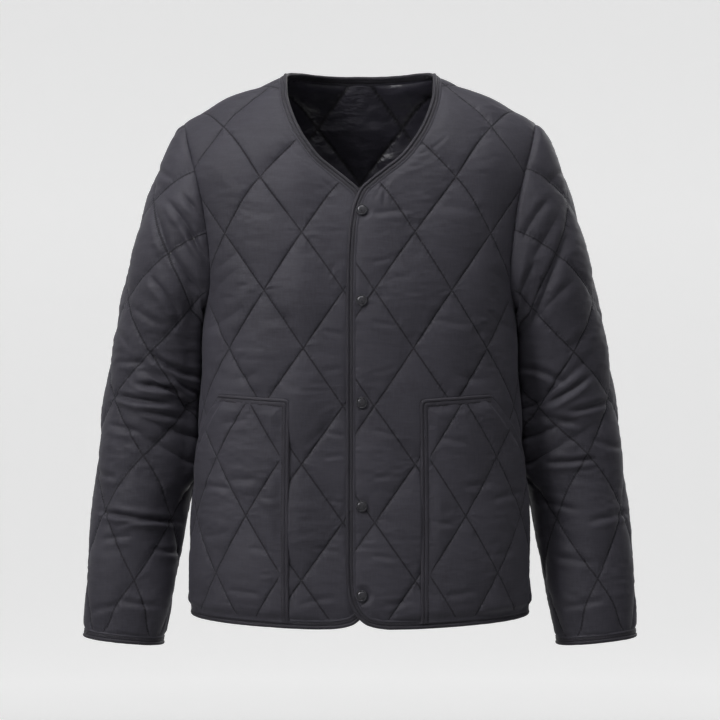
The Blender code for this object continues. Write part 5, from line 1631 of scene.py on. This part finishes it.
def skin(name, points, layout, closed, side, mat):
    """A tube over the sections, with its ends capped where it isn't a ring."""
    rows, cols = points.shape[:2]
    index = np.arange(rows * cols).reshape(rows, cols)
    index = np.hstack([index, index[:, :1]])
    if closed:
        index = np.vstack([index, index[:1]])
    a, b, c, d = index[:-1, :-1], index[:-1, 1:], index[1:, 1:], index[1:, :-1]
    tris = np.concatenate([np.stack([a, b, c], -1).reshape(-1, 3), np.stack([a, c, d], -1).reshape(-1, 3)])
    flat_points = points.reshape(-1, 3)
    flat_layout = layout.reshape(-1, 3)
    if not closed:
        caps = []
        for row, way in ((0, 1), (rows - 1, -1)):
            centre = len(flat_points)
            flat_points = np.vstack([flat_points, flat_points[index[row, :-1]].mean(axis=0)])
            flat_layout = np.vstack([flat_layout, flat_layout[index[row, :-1]].mean(axis=0)])
            ring = index[row]
            for i in range(cols):
                caps.append((centre, ring[i + 1], ring[i]) if way > 0 else (centre, ring[i], ring[i + 1]))
        tris = np.concatenate([tris, np.array(caps)])
    corners = flat_points[tris]
    volume = np.einsum("ij,ij->i", corners[:, 0], np.cross(corners[:, 1], corners[:, 2])).sum()
    if volume < 0:
        tris = tris[:, ::-1]
    if side < 0:
        flat_points = flat_points * np.array([-1, 1, 1])
        tris = tris[:, ::-1]
    return make_object(name, flat_points, tris, [mat], None, flat_layout)


def press_at(points, on_x):
    """How much thinner the tape is where a snap holds it."""
    thin = np.zeros(len(points))
    for z in PRESS_Z:
        thin = np.maximum(thin, smooth(2.2 - np.abs(points[:, 2] - z) / 0.009))
    return thin * smooth((0.03 - np.abs(points[:, 0])) / 0.012) * (0.45 if on_x else 0.3)


def tape_from(name, edge, turn_in, at, behind, lift, trims, seed, side, mat):
    frames = Frames(edge, turn_in, behind, lift)
    for end, way in trims:
        frames.out[end], frames.normal[end] = level(frames.out[end]), level(frames.normal[end])
        frames.inner[end][1] += way * 0.05 * MM
    thin = press_at(frames.inner, lift is not None)
    points, layout = tape_ring(
        TAPE_SHAPE, at / MM, seed, BIND_W / MM, frames.inner, frames.out, frames.normal, frames.stretch, thin
    )
    return skin(name, points, layout, False, side, mat)


def front_tape(side, on_top, mat):
    edge, turn_in, at, _ = front_stations(1.05 * MM)
    label = "left" if side > 0 else "right"
    return tape_from(
        f"edge_tape_front_{label}", edge, turn_in, at, False, lambda x: lap(x, on_top),
        ((0, -1), (-1, -1)), 700 + 10 * side, side, mat,
    )


def back_tapes(mat):
    hem, up, across, neck, neck_in, neck_at = back_stations(1.1 * MM)
    low = tape_from("edge_tape_back_hem", hem, up, across - across[0], True, None, ((0, 1), (-1, 1)), 720, 1, mat)
    high = tape_from("edge_tape_back_neck", neck, neck_in, neck_at, True, None, ((0, 1), (-1, 1)), 730, 1, mat)
    return low, high


def cuff_tape(side, mat):
    turn = np.linspace(0, 360, 261)[:-1]
    end, axis, radial = cuff_frame(turn)
    ring = np.linalg.norm(np.diff(np.vstack([end, end[:1]]), axis=0), axis=1)
    at = np.concatenate([[0], np.cumsum(ring)[:-1]])
    out = np.tile(axis, (len(turn), 1))
    inner = end - out * BIND_W
    inner[:, 0] += sleeve_room(1.0, turn)
    label = "left" if side > 0 else "right"
    points, layout = tape_ring(
        TAPE_SHAPE, at / MM, 740 + 10 * side, BIND_W / MM, inner, out, radial, np.ones(len(turn)), np.zeros(len(turn))
    )
    return skin(f"edge_tape_cuff_{label}", points, layout, True, side, mat)


def bend_line(start, middle, finish, count):
    t = np.linspace(0, 1, count)[:, None]
    return (1 - t) ** 2 * start + 2 * t * (1 - t) * middle + t**2 * finish


def band_piece(side, on_top, mat):
    lower, upper, outer, mouth = pocket_lines(side)
    path, rim, corner, top_end = pocket_path(side)
    along = (outer - upper) / np.linalg.norm(outer - upper)
    down = np.array([0.0, -1.0])
    low_q = float(hem_q(lower[0])) + 6.4 * MM
    r, r2 = POCKET_ROUND, 1.6 * MM
    top_n, side_n, bend_n = 78, 225, 15
    edge = np.vstack(
        [
            np.linspace(outer, upper + along * r, top_n),
            bend_line(upper + along * r, upper, upper + down * r, bend_n)[1:],
            np.linspace(upper + down * r, [upper[0], low_q], side_n)[1:],
        ]
    )
    inner = np.vstack(
        [
            np.linspace(top_end, corner + along * r2, top_n),
            bend_line(corner + along * r2, corner, corner + down * r2, bend_n)[1:],
            np.linspace(corner + down * r2, [corner[0], low_q], side_n)[1:],
        ]
    )
    zero = np.zeros(len(edge))
    pe, ne = cloth_surface(edge[:, 0], edge[:, 1], on_top, zero)
    pr, nr = cloth_surface(inner[:, 0], inner[:, 1], on_top, zero)
    at = np.concatenate([[0], np.cumsum(np.linalg.norm(np.diff((edge + inner) / 2, axis=0), axis=1))]) / MM
    near_hem = (edge[:, 1] - low_q) / MM
    lift = 4.35 * (0.36 + 0.64 * smooth((near_hem - 1.0) / 15)) - 0.5 * smooth(1 - at / 6)
    n = ne + nr
    n /= np.linalg.norm(n, axis=1, keepdims=True)
    pe, pr = pe + n * (lift * MM)[:, None], pr + n * (lift * MM)[:, None]
    out = pe - pr
    width = np.linalg.norm(out, axis=1)
    out /= width[:, None]
    label = "left" if side > 0 else "right"
    points, layout = tape_ring(
        BAND_SHAPE, at, 760 + 10 * side, BAND_W / MM, pr, out, n, width / BAND_W, zero
    )
    return skin(f"pocket_edge_band_{label}", points, layout, False, side, mat)


# ------------------------------------------------------------------ snaps
CAP_SHAPE = (
    (0.0, 2.42), (1.2, 2.38), (2.4, 2.27), (3.4, 2.10), (4.2, 1.86), (4.7, 1.55), (5.0, 1.36),
    (5.25, 1.42), (5.5, 1.80), (5.8, 2.06), (6.15, 2.02), (6.45, 1.72), (6.65, 1.22), (6.74, 0.65),
    (6.76, 0.10), (6.6, -0.10), (0.0, -0.10),
)


def snap_cap(number, mat):
    z = SNAP_Z[number - 1]
    a, q = flat(SNAP_X, z)
    p, n = body_point(a, q, False), body_normal(a, q, False)
    rest = (BIND_HALF - PRESS if z in PRESS_Z else HALF_LAP) + 0.34 * MM
    base = p + n * (LAP + rest)
    turn = Vector((0, 0, 1)).rotation_difference(Vector(n)).to_matrix()
    turn = np.array(turn)
    steps = 72
    angle = np.linspace(0, math.tau, steps, endpoint=False)
    shape = np.array(CAP_SHAPE)
    ring_r, ring_h = shape[1:-1, 0], shape[1:-1, 1]
    pts = [np.array([[0, 0, shape[0, 1]]])]
    for r, h in zip(ring_r, ring_h):
        pts.append(np.column_stack([r * np.cos(angle), r * np.sin(angle), np.full(steps, h)]))
    pts.append(np.array([[0, 0, shape[-1, 1]]]))
    points = np.vstack(pts) * MM @ turn.T + base
    tris = []
    for i in range(steps):
        j = (i + 1) % steps
        tris.append((0, 1 + i, 1 + j))
        for k in range(len(ring_r) - 1):
            a0, b0 = 1 + k * steps, 1 + (k + 1) * steps
            tris += [(a0 + i, b0 + i, b0 + j), (a0 + i, b0 + j, a0 + j)]
        last = 1 + (len(ring_r) - 1) * steps
        tris.append((last + i, len(points) - 1, last + j))
    return make_object(f"snap_disc_{number}", points, np.array(tris), [mat], None, None, 35)


# ------------------------------------------------------------------ materials
class Graph:
    """Short hand for a material's nodes."""

    def __init__(self, name, base, roughness, specular, **more):
        self.mat = bpy.data.materials.new(name)
        self.mat.use_nodes = True
        self.tree = self.mat.node_tree
        self.shader = self.tree.nodes["Principled BSDF"]
        self.set("Roughness", roughness)
        self.set("Specular IOR Level", specular)
        self.shader.inputs["Base Color"].default_value = (*base, 1)
        for key, value in more.items():
            self.set(key.replace("_", " "), value)
        self.mat.diffuse_color = (*base, 1)

    def set(self, socket, value):
        self.shader.inputs[socket].default_value = value

    def node(self, kind, **settings):
        made = self.tree.nodes.new(kind)
        for key, value in settings.items():
            setattr(made, key, value)
        return made

    def link(self, source, target):
        self.tree.links.new(source, target)

    def put(self, target, value):
        if isinstance(value, bpy.types.NodeSocket):
            self.link(value, target)
        else:
            target.default_value = value

    def math(self, operation, a, b=0.0, c=0.0, clamp=False):
        made = self.node("ShaderNodeMath", operation=operation, use_clamp=clamp)
        for socket, value in zip(made.inputs, (a, b, c)):
            self.put(socket, value)
        return made.outputs[0]

    def ramp(self, value, low, high, to_low=0.0, to_high=1.0):
        made = self.node("ShaderNodeMapRange", interpolation_type="SMOOTHSTEP")
        for key, item in zip(("Value", "From Min", "From Max", "To Min", "To Max"), (value, low, high, to_low, to_high)):
            self.put(made.inputs[key], item)
        return made.outputs["Result"]

    def noise(self, vector, scale, detail=2.0, rough=0.5, stretch=None):
        if stretch is not None:
            mapping = self.node("ShaderNodeMapping")
            mapping.inputs["Scale"].default_value = stretch
            self.link(vector, mapping.inputs["Vector"])
            vector = mapping.outputs[0]
        made = self.node("ShaderNodeTexNoise")
        self.link(vector, made.inputs["Vector"])
        made.inputs["Scale"].default_value = scale
        made.inputs["Detail"].default_value = detail
        made.inputs["Roughness"].default_value = rough
        return made.outputs["Fac"]

    def quilt(self):
        made = self.node("ShaderNodeAttribute", attribute_name="quilt")
        parts = self.node("ShaderNodeSeparateXYZ")
        self.link(made.outputs["Vector"], parts.inputs[0])
        return parts.outputs

    def place(self):
        return self.node("ShaderNodeTexCoord").outputs["Object"]

    def bump(self, layers):
        """Chains bumps, each (height, strength, distance in metres)."""
        normal = None
        for height, strength, distance in layers:
            made = self.node("ShaderNodeBump")
            made.inputs["Strength"].default_value = strength
            made.inputs["Distance"].default_value = distance
            self.link(height, made.inputs["Height"])
            if normal is not None:
                self.link(normal, made.inputs["Normal"])
            normal = made.outputs["Normal"]
        self.link(normal, self.shader.inputs["Normal"])

    def mix(self, factor, low, high):
        made = self.node("ShaderNodeMix", data_type="RGBA")
        self.put(made.inputs["Factor"], factor)
        for socket, value in ((made.inputs[6], low), (made.inputs[7], high)):
            if isinstance(value, bpy.types.NodeSocket):
                self.link(value, socket)
            else:
                socket.default_value = (*value, 1)
        return made.outputs[2]


def stitch_mask(g, value, along, gap, run, wide):
    """(groove, thread): 1 along a family of stitched lines, and 1 on the threads in it."""
    off = g.math("MULTIPLY", g.math("ABSOLUTE", g.math("SUBTRACT", g.math("FRACT", g.math("ADD", value, 0.5)), 0.5)), gap)
    groove = g.ramp(off, 0.2, wide, 1.0, 0.0)
    dash = g.math("ABSOLUTE", g.math("SUBTRACT", g.math("FRACT", g.math("MULTIPLY", along, run / 3.3)), 0.5))
    thread = g.math("MULTIPLY", g.ramp(off, 0.22, 0.42, 1.0, 0.0), g.ramp(dash, 0.30, 0.40, 1.0, 0.0))
    spot = g.node("ShaderNodeCombineXYZ")
    g.link(g.math("MULTIPLY", along, run / 2.4), spot.inputs[0])
    g.link(g.math("MULTIPLY", off, 0.12), spot.inputs[1])
    g.link(g.math("ROUND", value), spot.inputs[2])
    pleat = g.math("SUBTRACT", g.noise(spot.outputs[0], 1.0, 1.5), 0.5)
    pleat = g.math("MULTIPLY", pleat, g.ramp(off, 0.2, 6.5, 1.0, 0.0))
    return groove, thread, pleat


def cloth_material(name, base, light, roughness, specular, crinkle, sheen, rumple=0.0):
    g = Graph(name, base, roughness, specular, Sheen_Weight=sheen, Sheen_Roughness=0.45)
    g.shader.inputs["Sheen Tint"].default_value = (0.72, 0.72, 0.82, 1)
    place = g.place()
    x, y, z = g.quilt()
    wide = 3.2 if rumple else 1.5
    gu, tu, pu = stitch_mask(g, x, y, LINE_GAP, LINE_RUN, wide)
    gv, tv, pv = stitch_mask(g, y, x, LINE_GAP, LINE_RUN, wide)
    here = g.ramp(z, 0.02, 0.22)
    groove = g.math("MULTIPLY", g.math("MAXIMUM", gu, gv), here)
    thread = g.math("MULTIPLY", g.math("MAXIMUM", tu, tv), here)
    pleat = g.math("MULTIPLY", g.math("ADD", pu, pv), here)
    broad = g.noise(place, 9.0, 3.0, 0.55)
    weave_a = g.noise(place, 620.0, 1.0, 0.4, (1.0, 1.0, 0.12))
    weave_b = g.noise(place, 620.0, 1.0, 0.4, (0.12, 0.12, 1.0))
    weave = g.math("ADD", weave_a, weave_b)
    soft = g.noise(place, 46.0, 3.0, 0.5, (1.0, 1.0, 2.1))
    fine = g.noise(place, 150.0, 2.0, 0.5, (1.0, 1.0, 1.8))
    colour = g.mix(g.ramp(broad, 0.35, 0.68), base, light)
    colour = g.mix(g.math("MULTIPLY", g.ramp(weave, 0.75, 1.25), 0.35), colour, tuple(1.25 * c for c in light))
    # painted shade: the base colour is darkened along the stitched grooves, where shade falls in the creases
    colour = g.mix(g.math("MULTIPLY", groove, 0.80), colour, tuple(0.22 * c for c in base))
    colour = g.mix(g.math("MULTIPLY", thread, 0.10 if rumple else 0.40), colour, tuple(1.1 * c for c in light))
    g.link(colour, g.shader.inputs["Base Color"])
    rough = g.math("ADD", roughness - 0.05, g.math("MULTIPLY", g.noise(place, 24.0, 2.0), 0.10))
    rough = g.math("ADD", rough, g.math("MULTIPLY", groove, 0.15), clamp=True)
    g.link(rough, g.shader.inputs["Roughness"])
    rumples = ()
    if rumple:
        # the light lining is crumpled where it shows, round the neck
        parts = g.node("ShaderNodeSeparateXYZ")
        g.link(place, parts.inputs[0])
        upper = g.ramp(parts.outputs[2], -0.20, -0.10)
        small = g.noise(place, 62.0, 2.0, 0.5, (1.0, 1.0, 2.2))
        large = g.ramp(g.noise(place, 21.0, 1.0, 0.5), 0.38, 0.62)
        rumples = ((g.math("MULTIPLY", g.math("MULTIPLY", small, large), upper), 1.0, rumple * 0.001),)
    g.bump(
        (
            *rumples,
            (g.math("ADD", g.math("MULTIPLY", groove, -1.0), g.math("MULTIPLY", thread, 0.55)), 0.55, 0.0007),
            (pleat, 1.0, 0.0011),
            (soft, crinkle, 0.0020),
            (fine, crinkle * 0.8, 0.0006),
            (weave, 0.10, 0.00012),
        )
    )
    return g.mat


def tape_material(name, base, light, rows):
    """Woven tape: fine ribs across it and rows of stitching at the given distances from its inner rim."""
    g = Graph(name, base, 0.60, 0.30, Sheen_Weight=0.08, Sheen_Roughness=0.4)
    place = g.place()
    x, y, z = g.quilt()
    rib = g.math("FRACT", g.math("MULTIPLY", g.math("ADD", x, g.math("MULTIPLY", y, 0.9)), 1.0 / 0.95))
    rib = g.math("ABSOLUTE", g.math("SUBTRACT", rib, 0.5))
    groove = thread = None
    for row in rows:
        off = g.math("ABSOLUTE", g.math("SUBTRACT", y, row))
        dash = g.math("ABSOLUTE", g.math("SUBTRACT", g.math("FRACT", g.math("MULTIPLY", x, 1 / 2.9)), 0.5))
        one = g.ramp(off, 0.15, 0.75, 1.0, 0.0)
        two = g.math("MULTIPLY", g.ramp(off, 0.2, 0.4, 1.0, 0.0), g.ramp(dash, 0.30, 0.40, 1.0, 0.0))
        groove = one if groove is None else g.math("MAXIMUM", groove, one)
        thread = two if thread is None else g.math("MAXIMUM", thread, two)
    broad = g.noise(place, 30.0, 3.0, 0.5)
    fine = g.noise(place, 700.0, 2.0, 0.5)
    colour = g.mix(g.ramp(broad, 0.35, 0.7), base, light)
    # painted shade: darker in the furrows between the ribs
    colour = g.mix(g.math("MULTIPLY", g.ramp(rib, 0.0, 0.35, 1.0, 0.0), 0.45), colour, tuple(0.5 * c for c in base))
    # painted shade: darker along the sunken rows of stitching
    colour = g.mix(g.math("MULTIPLY", groove, 0.75), colour, tuple(0.25 * c for c in base))
    colour = g.mix(g.math("MULTIPLY", thread, 0.5), colour, tuple(1.3 * c for c in light))
    g.link(colour, g.shader.inputs["Base Color"])
    g.link(g.math("ADD", 0.54, g.math("MULTIPLY", broad, 0.14)), g.shader.inputs["Roughness"])
    g.bump(
        (
            (g.math("ADD", g.math("MULTIPLY", groove, -1.0), g.math("MULTIPLY", thread, 0.6)), 0.5, 0.0005),
            (rib, 0.35, 0.0002),
            (fine, 0.12, 0.00015),
        )
    )
    return g.mat


def metal_material(name, base, light, roughness, metallic, rim_lightening):
    g = Graph(name, base, roughness, 0.5, Metallic=metallic)
    place = g.place()
    speck = g.noise(place, 1400.0, 2.0, 0.6)
    smear = g.noise(place, 160.0, 3.0, 0.6)
    edge = g.node("ShaderNodeNewGeometry").outputs["Pointiness"]
    colour = g.mix(g.ramp(smear, 0.3, 0.75), base, light)
    # the sharp rims, found by pointiness, are lightened towards the light colour
    colour = g.mix(g.math("MULTIPLY", g.ramp(edge, 0.52, 0.62), rim_lightening), colour, tuple(min(1.0, 1.9 * c) for c in light))
    g.link(colour, g.shader.inputs["Base Color"])
    g.link(g.math("ADD", roughness - 0.06, g.math("MULTIPLY", smear, 0.14)), g.shader.inputs["Roughness"])
    g.bump(((speck, 0.18, 0.00008), (smear, 0.10, 0.00015)))
    return g.mat


def plain_pale(name, colour, glow):
    g = Graph(name, colour, 0.9, 0.1)
    place = g.place()
    g.link(g.mix(g.noise(place, 0.7, 2.0), tuple(0.985 * c for c in colour), colour), g.shader.inputs["Base Color"])
    g.shader.inputs["Emission Color"].default_value = (*colour, 1)
    parts = g.node("ShaderNodeSeparateXYZ")
    g.link(place, parts.inputs[0])
    near, around, behind = glow
    x, y = parts.outputs[0], parts.outputs[1]
    reach = g.math("SQRT", g.math("ADD", g.math("MULTIPLY", x, x), g.math("MULTIPLY", y, y)))
    wall = g.ramp(reach, 2.2, 4.4, near, around)
    g.link(g.math("ADD", wall, g.ramp(y, 1.0, 3.6, 0.0, behind - around)), g.shader.inputs["Emission Strength"])
    return g.mat


# ------------------------------------------------------------------ studio
def studio():
    scene = bpy.context.scene
    scene.view_settings.view_transform = "Standard"
    scene.view_settings.look = "None"
    scene.view_settings.exposure = 0.0
    scene.view_settings.gamma = 1.0
    # round floor, well under the hem, that turns up into a wall beyond every camera
    low, radius, outer, count = -1.25, 1.4, 5.6, 72
    line = [(0.6, low), (2.0, low), (outer - radius, low)]
    for k in range(1, 13):
        t = k / 12 * math.pi / 2
        line.append((outer - radius + radius * math.sin(t), low + radius * (1 - math.cos(t))))
    line.append((outer, 5.0))
    turns = [2 * math.pi * k / count for k in range(count)]
    points = [(r * math.cos(t), r * math.sin(t), z) for r, z in line for t in turns]
    faces = [tuple(range(count))]
    for k in range(len(line) - 1):
        for j in range(count):
            a, b = k * count + j, k * count + (j + 1) % count
            faces.append((a, a + count, b + count, b))
    mesh = bpy.data.meshes.new("pale_floor")
    mesh.from_pydata(points, [], faces)
    mesh.materials.append(plain_pale("pale_backdrop", BACKDROP, FLOOR_GLOW))
    mesh.shade_smooth()
    floor = bpy.data.objects.new("pale_floor", mesh)
    scene.collection.objects.link(floor)

    world = bpy.data.worlds.new("studio")
    world.use_nodes = True
    shade = world.node_tree.nodes["Background"]
    shade.inputs["Color"].default_value = (0.93, 0.95, 1.0, 1)
    shade.inputs["Strength"].default_value = WORLD
    scene.world = world

    for name, place, target, size, spread, power, tint in LIGHTS:
        light = bpy.data.lights.new(name, "AREA")
        light.shape = "RECTANGLE"
        light.size, light.size_y = size
        light.spread = math.radians(spread)
        light.energy = power
        light.color = tint
        lamp = bpy.data.objects.new(name, light)
        scene.collection.objects.link(lamp)
        lamp.location = place
        way = Vector(target) - Vector(place)
        lamp.rotation_euler = way.to_track_quat("-Z", "Y").to_euler()

    lens = bpy.data.cameras.new("front_camera")
    lens.sensor_width = 36.0
    lens.lens = 36.0 * VIEW_D / (720 * PIX)
    lens.clip_start, lens.clip_end = 0.05, 60.0
    camera = bpy.data.objects.new("front_camera", lens)
    scene.collection.objects.link(camera)
    camera.location = (0.0, -VIEW_D, MID_Z)
    camera.rotation_euler = (math.pi / 2, 0, 0)
    scene.camera = camera


WORLD = 0.0
FLOOR_GLOW = (0.04, 0.10, 0.865)  # on the floor, on the wall all around, and on the wall behind the jacket
LIGHTS = (
    ("key", (-2.2, -1.9, 1.4), (-0.25, 0, -0.22), (1.2, 1.2), 35, 3.1, (1.0, 1.0, 1.0)),
    ("key_near", (-1.25, -1.25, 1.45), (-0.2, 0, -0.15), (1.2, 1.2), 60, 1.5, (1.0, 1.0, 1.0)),
    ("top_front", (0.3, -1.2, 2.3), (0, 0, -0.2), (1.4, 1.4), 50, 3.45, (1.0, 1.0, 1.0)),
    ("top", (0.0, 0.1, 2.4), (0, 0, -0.2), (1.6, 1.2), 50, 2.7, (1.0, 1.0, 1.0)),
    ("rear", (1.6, 2.6, 1.0), (0.05, 0, -0.35), (1.0, 1.0), 35, 1.1, (1.0, 1.0, 1.0)),
)


# ------------------------------------------------------------------ everything together
def surface_tree(objects):
    points, tris, start = [], [], 0
    for obj in objects:
        mesh = obj.data
        co = np.empty(len(mesh.vertices) * 3, np.float32)
        mesh.vertices.foreach_get("co", co)
        corner = np.empty(len(mesh.loops), np.int32)
        mesh.loops.foreach_get("vertex_index", corner)
        points.append(co.reshape(-1, 3))
        tris.append(corner.reshape(-1, 3) + start)
        start += len(mesh.vertices)
    return BVHTree.FromPolygons(np.vstack(points).tolist(), np.vstack(tris).tolist())


def main():
    cloth = cloth_material("quilted_nylon", (0.0366, 0.0347, 0.0446), (0.0450, 0.0427, 0.0546), 0.64, 0.30, 0.24, 0.06)
    lining = cloth_material("lining_nylon", (0.026, 0.0245, 0.033), (0.033, 0.031, 0.042), 0.33, 0.52, 0.45, 0.03, 2.6)
    tape = tape_material("edge_tape_weave", (0.028, 0.026, 0.034), (0.036, 0.0335, 0.043), (0.9, 4.05))
    band = tape_material("band_weave", (0.0325, 0.030, 0.039), (0.042, 0.039, 0.050), (0.7, 4.95))
    cap = metal_material("snap_paint", (0.050, 0.049, 0.056), (0.066, 0.065, 0.073), 0.27, 0.35, 0.6)
    metal = metal_material("snap_plate", (0.13, 0.13, 0.135), (0.20, 0.20, 0.205), 0.34, 0.9, 0.6)

    made = {}
    fine, coarse = 2.0 * MM, 4.0 * MM
    for side, on_top, label in ((1, True, "left"), (-1, False, "right")):
        made[f"front_{label}"] = shell(
            f"quilted_front_{label}", front_sheet(side, on_top, fine, False),
            front_sheet(side, on_top, coarse, True), side, [cloth, lining],
        )
        made[f"binding_front_{label}"] = front_tape(side, on_top, tape)
        made[f"pocket_{label}"] = shell(
            f"patch_pocket_{label}", pocket_sheet(side, on_top, 1.8 * MM, False),
            pocket_sheet(side, on_top, 3.6 * MM, True), side, [cloth, lining],
        )
        made[f"pocket_band_{label}"] = band_piece(side, on_top, band)
        made[f"binding_cuff_{label}"] = cuff_tape(side, tape)
    made["back"] = shell(
        "quilted_back", back_sheet(2.35 * MM, False), back_sheet(3.1 * MM, True), 1, [cloth, lining]
    )
    made["binding_back_hem"], made["binding_back_neck"] = back_tapes(tape)
    # the sleeves come last, because they hang against the sides of the body
    tree = surface_tree([made["front_left"], made["front_right"], made["back"]])
    for side, label in ((1, "left"), (-1, "right")):
        outer = sleeve_sheet(side, 150, 300, False)
        shape = (len(outer[0]) // 151, 151)
        close = against_body(tree, side, outer[0], shape)
        outer = sleeve_sheet(side, 150, 300, False, close)
        made[f"sleeve_{label}"] = shell(
            f"quilted_sleeve_{label}", outer, sleeve_sheet(side, 76, 150, True, close), side, [cloth, lining]
        )
    for number in range(1, 6):
        made[f"snap_cap_{number}"] = snap_cap(number, cap)

    for node, obj in made.items():
        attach(obj, "root")
        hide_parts(node)
    for kind in ("socket", "stud", "back"):
        for number in range(1, 6):
            node = bpy.data.objects[f"snap_{kind}_{number}"]
            node.material_slots[0].material = metal

    studio()


main()
